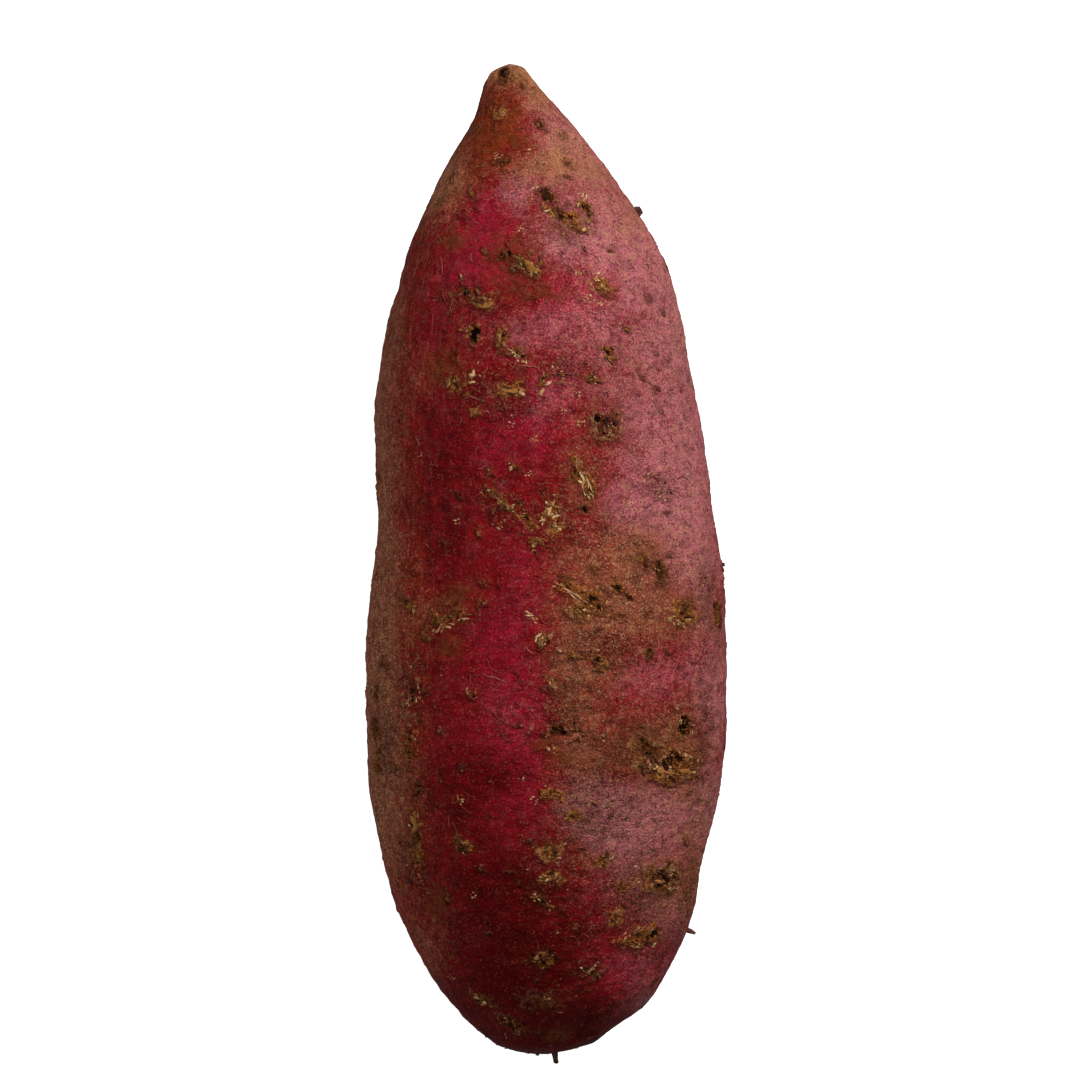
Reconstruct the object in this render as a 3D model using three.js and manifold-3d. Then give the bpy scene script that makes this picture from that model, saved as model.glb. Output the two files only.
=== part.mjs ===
// A red-skinned sweet potato: one swollen root that lies on its side, in millimetres.
// +Y runs along the root towards the stem end, +X is to the right seen from above, and +Z is up.
// The origin is under the middle of the root's bounding box, on the surface that it rests on.
import * as THREE from "three";
import { mergeVertices } from "three/addons/utils/BufferGeometryUtils.js";
import Module from "manifold-3d";

const FACETS_ROUND = 72;
const FACETS_ALONG = 52;
const SKIN = { color: 0x7d2638, roughness: 0.62, metalness: 0 };

// The root's outline, from the stem end to the tail. Each station is a cross-section: its place along
// the root, its left and right edges seen from above, and its lowest and highest points.
// All four edges meet at the two ends.
const STATIONS = [
  { along: 91.3, left: -6.9, right: -6.9, low: 33.0, high: 33.0 },
  { along: 90.9, left: -8.6, right: -5.1, low: 31.4, high: 34.7 },
  { along: 89.4, left: -10.3, right: -3.8, low: 29.7, high: 36.2 },
  { along: 85.8, left: -11.9, right: -1.1, low: 27.0, high: 38.2 },
  { along: 80.0, left: -14.3, right: 4.2, low: 22.4, high: 41.2 },
  { along: 72.0, left: -18.9, right: 10.5, low: 16.2, high: 45.0 },
  { along: 61.5, left: -23.4, right: 18.1, low: 8.9, high: 49.8 },
  { along: 50.0, left: -27.3, right: 23.2, low: 4.0, high: 53.4 },
  { along: 36.5, left: -30.2, right: 25.5, low: 1.5, high: 55.5 },
  { along: 24.0, left: -31.5, right: 28.1, low: 0.4, high: 56.7 },
  { along: 11.5, left: -30.7, right: 29.6, low: -0.3, high: 58.0 },
  { along: -3.0, left: -31.6, right: 31.8, low: -0.7, high: 59.5 },
  { along: -20.0, left: -32.7, right: 32.5, low: -0.5, high: 60.3 },
  { along: -38.0, left: -32.4, right: 31.3, low: 0.8, high: 59.2 },
  { along: -54.0, left: -29.6, right: 28.3, low: 3.2, high: 55.6 },
  { along: -67.5, left: -25.2, right: 24.8, low: 6.5, high: 50.6 },
  { along: -78.0, left: -19.1, right: 19.6, low: 11.2, high: 44.7 },
  { along: -84.5, left: -12.8, right: 12.0, low: 16.2, high: 38.8 },
  { along: -87.8, left: -7.4, right: 5.7, low: 21.0, high: 33.3 },
  { along: -89.0, left: -1.2, right: -1.2, low: 27.0, high: 27.0 },
];

// A few faint lobes round the cross-section, as the strands inside the root make.
const LOBES = { count: 5, height: 0.4, turn: -4 };

// Broad swellings and hollows of the skin: where each has its middle along the root and round it
// (degrees from the top, positive to the right), how far it reaches both ways, and its height.
const SWELLINGS = [
  { along: 50, around: 48, reachAlong: 14, reachAround: 24, height: 0.8 },
  { along: -22, around: -50, reachAlong: 34, reachAround: 13, height: 0.8 },
  { along: -30, around: 9, reachAlong: 26, reachAround: 13, height: 0.7 },
  { along: -48, around: 27, reachAlong: 11, reachAround: 17, height: 0.7 },
  { along: 12, around: -28, reachAlong: 16, reachAround: 22, height: -0.6 },
  { along: -6, around: 42, reachAlong: 15, reachAround: 16, height: -0.5 },
  { along: 38, around: 125, reachAlong: 16, reachAround: 20, height: 0.7 },
  { along: 2, around: 122, reachAlong: 14, reachAround: 15, height: -0.6 },
  { along: -46, around: -128, reachAlong: 18, reachAround: 18, height: 0.7 },
  { along: 26, around: -124, reachAlong: 16, reachAround: 16, height: -0.7 },
];

// Broken rootlets that stand out of the skin: the foot, just under the surface, the way that each
// points, its length from the foot, and its radius at the foot and near the tip.
const ROOTLETS = [
  { foot: [1.5, -87.2, 27.4], points: [-0.02, -1, -0.06], length: 4.1, thick: 1.0, thin: 0.45 },
  { foot: [-0.9, -87.6, 28.4], points: [-0.2, -1, 0.1], length: 2.2, thick: 0.7, thin: 0.4 },
  { foot: [24.6, -66.0, 30.0], points: [1, -0.6, 0.1], length: 2.9, thick: 0.9, thin: 0.4 },
  { foot: [15.4, 63.6, 31.0], points: [1, 0.5, 0.1], length: 2.2, thick: 1.3, thin: 0.9 },
  { foot: [31.0, -0.1, 32.0], points: [1, 0.12, 0.2], length: 1.5, thick: 0.7, thin: 0.4 },
];
const ROOTLET_SIDES = 10;

// The small hollow in the broken stem scar.
const STEM_HOLLOW = { centre: [-8.1, 91.6, 33.9], radius: 1.5 };

// The root is flat where it rests: nothing reaches below this height.
const GROUND = 0;
const GROUND_BLOCK = 300;

// One edge of the outline as a smooth curve, with the place along the root as its x.
const edgeCurve = (edge) => new THREE.SplineCurve(STATIONS.map((s) => new THREE.Vector2(s.along, s[edge])));
const EDGES = {
  left: edgeCurve("left"),
  right: edgeCurve("right"),
  low: edgeCurve("low"),
  high: edgeCurve("high"),
};

// A round bump of height 1 whose slopes are about one reach long.
const bump = (distance, reach) => Math.exp(-((distance / reach) ** 2));

// The turn from one angle to another in degrees, between -180 and 180.
const turnFrom = (a, b) => THREE.MathUtils.euclideanModulo(b - a + 180, 360) - 180;

// How far the skin stands out from the plain outline.
function relief(along, around) {
  let height = LOBES.height * Math.cos(THREE.MathUtils.degToRad(LOBES.count * (around - LOBES.turn)));
  for (const s of SWELLINGS) {
    height += s.height * bump(along - s.along, s.reachAlong) * bump(turnFrom(s.around, around), s.reachAround);
  }
  return height;
}

// The point of the skin at a share of the way from the stem end to the tail and an angle from the top.
// The cross-section is an ellipse between the four edges, and its relief fades out towards both ends.
function skinPoint(share, around) {
  const t = EDGES.right.getUtoTmapping(share);
  const along = EDGES.right.getPoint(t).x;
  const [left, right, low, high] = Object.values(EDGES).map((edge) => edge.getPoint(t).y);
  const turn = THREE.MathUtils.degToRad(around);
  const across = (Math.sin(turn) * (right - left)) / 2;
  const up = (Math.cos(turn) * (high - low)) / 2;
  const outwards = new THREE.Vector3(across, 0, up);
  outwards.setLength(outwards.length() + relief(along, around) * Math.sin(Math.PI * share));
  return new THREE.Vector3((left + right) / 2, along, (low + high) / 2).add(outwards);
}

// A sphere with its poles at the stem end and the tail, each of its corners moved onto the skin.
function bodyGeometry() {
  const sphere = new THREE.SphereGeometry(1, FACETS_ROUND, FACETS_ALONG);
  const position = sphere.getAttribute("position");
  const corner = new THREE.Vector3();
  for (let i = 0; i < position.count; i++) {
    corner.fromBufferAttribute(position, i);
    const share = Math.acos(THREE.MathUtils.clamp(corner.y, -1, 1)) / Math.PI;
    const around = THREE.MathUtils.radToDeg(Math.atan2(corner.x, corner.z));
    corner.copy(skinPoint(share, around));
    position.setXYZ(i, corner.x, corner.y, corner.z);
  }
  return sphere;
}

// A tapered stub with a blunt tip, set on its foot and pointing its own way.
function rootletGeometry({ foot, points, length, thick, thin }) {
  const profile = [
    new THREE.Vector2(0, 0),
    new THREE.Vector2(thick, 0),
    new THREE.Vector2((thick + thin) / 2, length * 0.45),
    new THREE.Vector2(thin, length * 0.85),
    new THREE.Vector2(thin * 0.6, length * 0.97),
    new THREE.Vector2(0, length),
  ];
  const stub = new THREE.LatheGeometry(profile, ROOTLET_SIDES);
  const direction = new THREE.Vector3(...points).normalize();
  stub.applyQuaternion(new THREE.Quaternion().setFromUnitVectors(new THREE.Vector3(0, 1, 0), direction));
  return stub.translate(...foot);
}

// The hollow in the stem scar, as the ball that leaves it.
function hollowGeometry() {
  return new THREE.SphereGeometry(STEM_HOLLOW.radius, 12, 8).translate(...STEM_HOLLOW.centre);
}

// The block under the root that leaves its flat spot.
function groundGeometry() {
  const block = new THREE.BoxGeometry(GROUND_BLOCK, GROUND_BLOCK, GROUND_BLOCK);
  return block.translate(0, 0, GROUND - GROUND_BLOCK / 2);
}

const wasm = await Module();
wasm.setup();

// A closed geometry as a solid that can be joined and cut.
function solidOf(geometry) {
  geometry.deleteAttribute("normal");
  geometry.deleteAttribute("uv");
  const merged = mergeVertices(geometry);
  const vertProperties = merged.getAttribute("position").array;
  const triVerts = new Uint32Array(merged.getIndex().array);
  return new wasm.Manifold(new wasm.Mesh({ numProp: 3, vertProperties, triVerts }));
}

// The surface of a solid.
function geometryOf(solid) {
  const { vertProperties, triVerts } = solid.getMesh();
  const geometry = new THREE.BufferGeometry();
  geometry.setAttribute("position", new THREE.BufferAttribute(vertProperties, 3));
  geometry.setIndex(new THREE.BufferAttribute(triVerts, 1));
  geometry.computeVertexNormals();
  return geometry;
}

// The whole root: the body and its rootlets, hollow at the stem scar and flat where it rests.
function sweetPotato() {
  let root = solidOf(bodyGeometry());
  for (const rootlet of ROOTLETS) {
    root = root.add(solidOf(rootletGeometry(rootlet)));
  }
  root = root.subtract(solidOf(hollowGeometry()));
  root = root.subtract(solidOf(groundGeometry()));
  const mesh = new THREE.Mesh(geometryOf(root), new THREE.MeshStandardMaterial(SKIN));
  mesh.name = "sweet_potato";
  mesh.geometry.computeBoundingBox();
  const middle = mesh.geometry.boundingBox.getCenter(new THREE.Vector3());
  mesh.position.set(-middle.x, -middle.y, -GROUND);
  return mesh;
}

const part = new THREE.Group();
part.add(sweetPotato());

export default part;
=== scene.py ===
"""A red-skinned sweet potato that lies on its side.

The skin is one closed surface. Its smooth shape is read from the root's solid in the frame, and the scars,
pits, lumps and wrinkles are worked into it. Broken rootlets, flakes of dry skin, slivers of cork and root
hairs are pieces of their own. The row frame is used throughout: +Y towards the stem end, +X right seen
from above, +Z up. Sizes in this file are in millimetres until a mesh is made.
"""

from __future__ import annotations

import logging
import math
from dataclasses import dataclass, field
from enum import Enum
from functools import partial, reduce

import bpy
import numpy as np
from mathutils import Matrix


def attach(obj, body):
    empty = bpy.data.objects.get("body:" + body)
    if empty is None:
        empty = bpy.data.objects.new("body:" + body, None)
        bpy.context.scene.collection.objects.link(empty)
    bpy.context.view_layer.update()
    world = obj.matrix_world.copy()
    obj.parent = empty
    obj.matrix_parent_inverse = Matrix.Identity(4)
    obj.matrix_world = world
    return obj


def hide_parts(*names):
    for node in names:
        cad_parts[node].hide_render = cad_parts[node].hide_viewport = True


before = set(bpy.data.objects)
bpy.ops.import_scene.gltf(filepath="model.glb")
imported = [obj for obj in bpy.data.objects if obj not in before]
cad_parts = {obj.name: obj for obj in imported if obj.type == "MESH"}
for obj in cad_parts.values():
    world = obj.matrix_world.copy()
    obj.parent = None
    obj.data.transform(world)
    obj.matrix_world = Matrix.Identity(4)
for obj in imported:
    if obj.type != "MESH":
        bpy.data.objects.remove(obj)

LOG = logging.getLogger("sweet_potato")
MM = 0.001
ROOT_NODE = "sweet_potato"
ROOT_BODY = "root"
EYE = (-1.1, 4.4, 930.0)  # where the camera hangs over the root
OUTLINE_LEVEL = 31.0  # the height at which the root is widest

Vector3 = tuple[float, float, float]
Colour = tuple[float, float, float, float]
Value = object  # a node's socket, or a number or colour to set one to


def tone(red: float, green: float, blue: float) -> Colour:
    """Turns a colour as a screen shows it into the linear colour that a shader takes.

    Args:
        red: The red part, from 0 to 255.
        green: The green part, from 0 to 255.
        blue: The blue part, from 0 to 255.

    Returns:
        The linear red, green and blue, with an alpha of 1.
    """
    shown = np.array((red, green, blue)) / 255
    linear = np.where(shown > 0.04045, ((shown + 0.055) / 1.055) ** 2.4, shown / 12.92)
    return (*linear.tolist(), 1.0)


def unit(vectors: np.ndarray) -> np.ndarray:
    """Gives the vectors on the last axis a length of 1."""
    return vectors / np.maximum(np.linalg.norm(vectors, axis=-1, keepdims=True), 1e-9)


def smooth_step(low: float, high: float, values: np.ndarray) -> np.ndarray:
    """Rises from 0 at low to 1 at high along 3t^2 - 2t^3."""
    share = np.clip((values - low) / (high - low), 0, 1)
    return share * share * (3 - 2 * share)


def seen_from_above(points: np.ndarray) -> np.ndarray:
    """Finds where points appear to an eye above the root.

    A point is carried along its line of sight to the level of the root's widest outline.

    Args:
        points: Places in the row frame, with x, y and z on the last axis.

    Returns:
        The x and y at which each point appears.
    """
    scale = (EYE[2] - OUTLINE_LEVEL) / (EYE[2] - points[..., 2:3])
    return np.array(EYE[:2]) + (points[..., :2] - EYE[:2]) * scale


def axes_on_skin(out: np.ndarray, turn: np.ndarray | float) -> tuple[np.ndarray, np.ndarray]:
    """Finds two directions that lie along the skin, square to each other.

    Args:
        out: The ways out of the skin.
        turn: How far the first direction is turned from straight across the root, in radians.

    Returns:
        The first directions and the second ones.
    """
    ahead = unit(np.array((0.0, 1.0, 0.0)) - out[..., 1:2] * out)
    across = np.cross(ahead, out)
    cos, sin = np.cos(turn)[..., None], np.sin(turn)[..., None]
    return cos * across + sin * ahead, cos * ahead - sin * across


@dataclass(frozen=True)
class Waves:
    """A smooth random field: plane waves of about one length, each turned its own way, added up.

    Attributes:
        length: The usual wavelength.
        seed: Sets the waves' directions and phases.
        stretch: How many times longer the waves are along the root than across it.
        count: How many waves there are.
    """

    length: float
    seed: int
    stretch: float = 1.0
    count: int = 40

    def at(self, points: np.ndarray) -> np.ndarray:
        """Adds up cos(k . p + phase) over the waves.

        Args:
            points: Places in the row frame.

        Returns:
            The field at each point, with a mean of about 0 and a spread of about 1.
        """
        rng = np.random.default_rng(self.seed)
        heading = unit(rng.normal(size=(self.count, 3)))
        heading *= 2 * math.pi / self.length * rng.uniform(0.7, 1.4, (self.count, 1))
        heading[:, 1] /= self.stretch
        phase = rng.uniform(0, 2 * math.pi, self.count)
        return np.cos(points @ heading.T + phase).sum(axis=-1) * math.sqrt(2 / self.count)


# ---------------------------------------------------------------------------------------------------------
# The root's shape
# ---------------------------------------------------------------------------------------------------------


@dataclass
class RootForm:
    """The root's smooth shape, read from its solid in the frame.

    A straight axis joins the two ends. A place on the surface is a turn phi from the stem end (0) to the
    tail (pi), with cos(phi) the share of the way along, and an angle round the axis from the top. The
    distance from the axis is sin(phi) times a sum of products: cubic splines in phi times waves round it.

    Attributes:
        node: The solid's name.
        stem_end: Where the axis leaves the surface at the stem end.
        tail_end: Where it leaves it at the tail, under the rootlets.
        bands: The number of spline steps from end to end.
        lobes: The highest number of waves round the root.
        stray: How far off the first fit a corner may lie and still count in the second.
        stiffness: How strongly the splines are held straight where the solid leaves them free.
    """

    node: str = ROOT_NODE
    stem_end: Vector3 = (-6.9, 91.3, 33.0)
    tail_end: Vector3 = (-1.2, -89.0, 27.0)
    bands: int = 21
    lobes: int = 6
    stray: float = 0.35
    stiffness: float = 0.25
    weights: np.ndarray = field(init=False)

    def __post_init__(self) -> None:
        """Fits the spline weights to the solid's corners, then again without what stands out of the fit."""
        corners = self._corners()
        phi, around, radius = self._polar(corners)
        usable = (np.sin(phi) > 0.05) & (corners[:, 2] > 0.05)
        self.weights = np.zeros((self.bands + 3) * (2 * self.lobes + 1))
        for limit in (np.inf, self.stray):
            usable &= np.abs(self.radius(phi, around) - radius) < limit
            basis = self._basis(phi[usable], around[usable])
            goal = radius[usable] / np.sin(phi[usable])
            calm = self._calm()
            self.weights = np.linalg.lstsq(
                np.vstack((basis, calm)), np.concatenate((goal, np.zeros(len(calm)))), rcond=None
            )[0]

    def _corners(self) -> np.ndarray:
        """Reads the solid's corners, each one once."""
        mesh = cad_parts[self.node].data
        corners = np.empty(len(mesh.vertices) * 3)
        mesh.vertices.foreach_get("co", corners)
        return np.unique((corners.reshape(-1, 3) / MM).round(4), axis=0)

    def _polar(self, points: np.ndarray) -> tuple[np.ndarray, np.ndarray, np.ndarray]:
        """Turns places into phi, the angle round the axis and the distance from it."""
        stem, tail = np.array(self.stem_end), np.array(self.tail_end)
        share = np.clip((points[:, 1] - tail[1]) / (stem[1] - tail[1]), 0, 1)
        out = points - (tail + share[:, None] * (stem - tail))
        return np.arccos(2 * share - 1), np.arctan2(out[:, 0], out[:, 2]), np.hypot(out[:, 0], out[:, 2])

    def _basis(self, phi: np.ndarray, around: np.ndarray) -> np.ndarray:
        """Evaluates each spline times each wave.

        The spline is the uniform cubic one: 2/3 - t^2 + t^3/2 within one step of its middle, and
        (2 - t)^3/6 within two.

        Args:
            phi: The turn from the stem end.
            around: The angle round the axis.

        Returns:
            One row for each place, and one column for each product.
        """
        step = np.abs(phi[:, None] * self.bands / math.pi - np.arange(-1, self.bands + 2))
        near = 2 / 3 - step**2 + step**3 / 2
        spline = np.where(step < 1, near, np.clip(2 - step, 0, None) ** 3 / 6)
        order = np.arange(1, self.lobes + 1) * around[:, None]
        waves = np.hstack((np.ones((len(phi), 1)), np.cos(order), np.sin(order)))
        return (spline[:, :, None] * waves[:, None, :]).reshape(len(phi), -1)

    def _calm(self) -> np.ndarray:
        """Rows that hold down the second differences along phi, so that the ends stay smooth."""
        count = self.bands + 3
        bend = np.diff(np.eye(count), n=2, axis=0)
        return self.stiffness * np.kron(bend, np.eye(2 * self.lobes + 1))

    def radius(self, phi: np.ndarray, around: np.ndarray) -> np.ndarray:
        """Gives the distance from the axis at each pair of phi and angle."""
        return np.sin(phi) * (self._basis(phi, around) @ self.weights)

    def points(self, phi: np.ndarray, around: np.ndarray) -> np.ndarray:
        """Gives the places on the surface.

        Args:
            phi: The turn from the stem end, one for each row.
            around: The angle round the axis, one for each column.

        Returns:
            The places, as rows by columns by x, y and z.
        """
        grid_phi, grid_around = np.meshgrid(phi, around, indexing="ij")
        radius = self.radius(grid_phi.ravel(), grid_around.ravel()).reshape(grid_phi.shape)
        stem, tail = np.array(self.stem_end), np.array(self.tail_end)
        axis = tail + ((1 + np.cos(grid_phi)) / 2)[..., None] * (stem - tail)
        out = np.stack((np.sin(grid_around), np.zeros_like(radius), np.cos(grid_around)), axis=-1)
        return axis + radius[..., None] * out


# ---------------------------------------------------------------------------------------------------------
# Marks on the skin
# ---------------------------------------------------------------------------------------------------------


@dataclass(frozen=True)
class MarkProfile:
    """How a mark is shaped and filled. Reaches are shares of the mark's own half size.

    Attributes:
        dish: How deep its floor is, as a share of the mark's depth.
        lip: How high its edge stands, as a share of the depth.
        cork: The reach of its cork, or 0.
        hole: The reach of its hole, whose inside is painted near black as shade, or 0.
        crumble: How broken its surface is, from 0 to 1.
        stain: How strongly the skin round it is stained.
        flakes: How many loose flakes stand on a square millimetre of it.
    """

    dish: float = 0.0
    lip: float = 0.0
    cork: float = 0.0
    hole: float = 0.0
    crumble: float = 0.0
    stain: float = 0.0
    flakes: float = 0.0


class MarkKind(Enum):
    """The kinds of mark that a root's skin has."""

    SCAR = MarkProfile(dish=0.5, lip=0.5, cork=1.15, crumble=0.8, stain=0.6, flakes=0.4)
    OLD_SCAR = MarkProfile(dish=0.8, lip=0.5, cork=1.1, crumble=1.0, stain=0.6, flakes=0.4)
    CRATER = MarkProfile(dish=0.9, lip=0.9, cork=1.2, crumble=1.0, stain=0.8, flakes=0.5)
    PIT = MarkProfile(dish=1.4, lip=0.5, cork=1.0, hole=0.6, crumble=0.8, stain=0.4, flakes=0.4)
    BURROW = MarkProfile(dish=1.2, lip=0.3, cork=1.0, hole=1.1, crumble=0.6, stain=0.4, flakes=0.3)
    DENT = MarkProfile(dish=1.2, lip=0.5, cork=0.6, crumble=0.8, stain=0.5, flakes=0.2)
    SLIT = MarkProfile(dish=1.2, lip=0.6, cork=0.8, crumble=0.9, stain=0.5, flakes=0.3)
    STAIN = MarkProfile(dish=0.1, crumble=0.25, stain=1.0, flakes=0.05)
    CRUST = MarkProfile(dish=-0.8, cork=0.9, crumble=0.8, stain=0.5, flakes=0.5)
    KNOT = MarkProfile(dish=0.9, lip=0.9, crumble=1.0, stain=1.0, flakes=0.4)
    SCURF = MarkProfile(crumble=0.5, stain=0.1, flakes=0.28)
    NUB = MarkProfile(dish=-1.6, crumble=0.3)
    CREASE = MarkProfile(dish=1.0, lip=1.1, crumble=0.15, stain=0.2)


@dataclass(frozen=True)
class Mark:
    """One mark on the top side, at its real size.

    Attributes:
        x: Its middle across the root, as seen from above.
        y: Its middle along the root, as seen from above.
        length: Its longer side.
        width: Its shorter side.
        kind: What it is.
        turn: The angle of its longer side from straight across the root, anticlockwise.
        depth: How deep or high it is.
    """

    x: float
    y: float
    length: float
    width: float
    kind: MarkKind
    turn: float = 0.0
    depth: float = 0.35


class Zone(Enum):
    """The skin's colour zones."""

    MAGENTA = "magenta"
    ROSE = "dusty_rose_and_sheen"
    RUSSET = "russet"
    MAROON = "maroon_and_tail_shade"
    TAN = "tan"
    RUST = "rust"


@dataclass(frozen=True)
class Blot:
    """One soft patch of a colour zone on the top side.

    Attributes:
        x: Its middle across the root, as seen from above.
        y: Its middle along the root, as seen from above.
        reach_x: How far it spreads across the root.
        reach_y: How far it spreads along the root.
        amount: How strong it is in its middle.
    """

    x: float
    y: float
    reach_x: float
    reach_y: float
    amount: float

    def at(self, seen: np.ndarray) -> np.ndarray:
        """Gives its strength at places seen from above: the amount times exp(-u^2 - v^2), in its reaches."""
        across = (seen[..., 0] - self.x) / self.reach_x
        along = (seen[..., 1] - self.y) / self.reach_y
        return self.amount * np.exp(-(across**2) - along**2)


SCAR, OLD_SCAR, CRATER, PIT, BURROW, DENT, SLIT, STAIN, CRUST, KNOT, SCURF, NUB, CREASE = MarkKind

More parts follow.
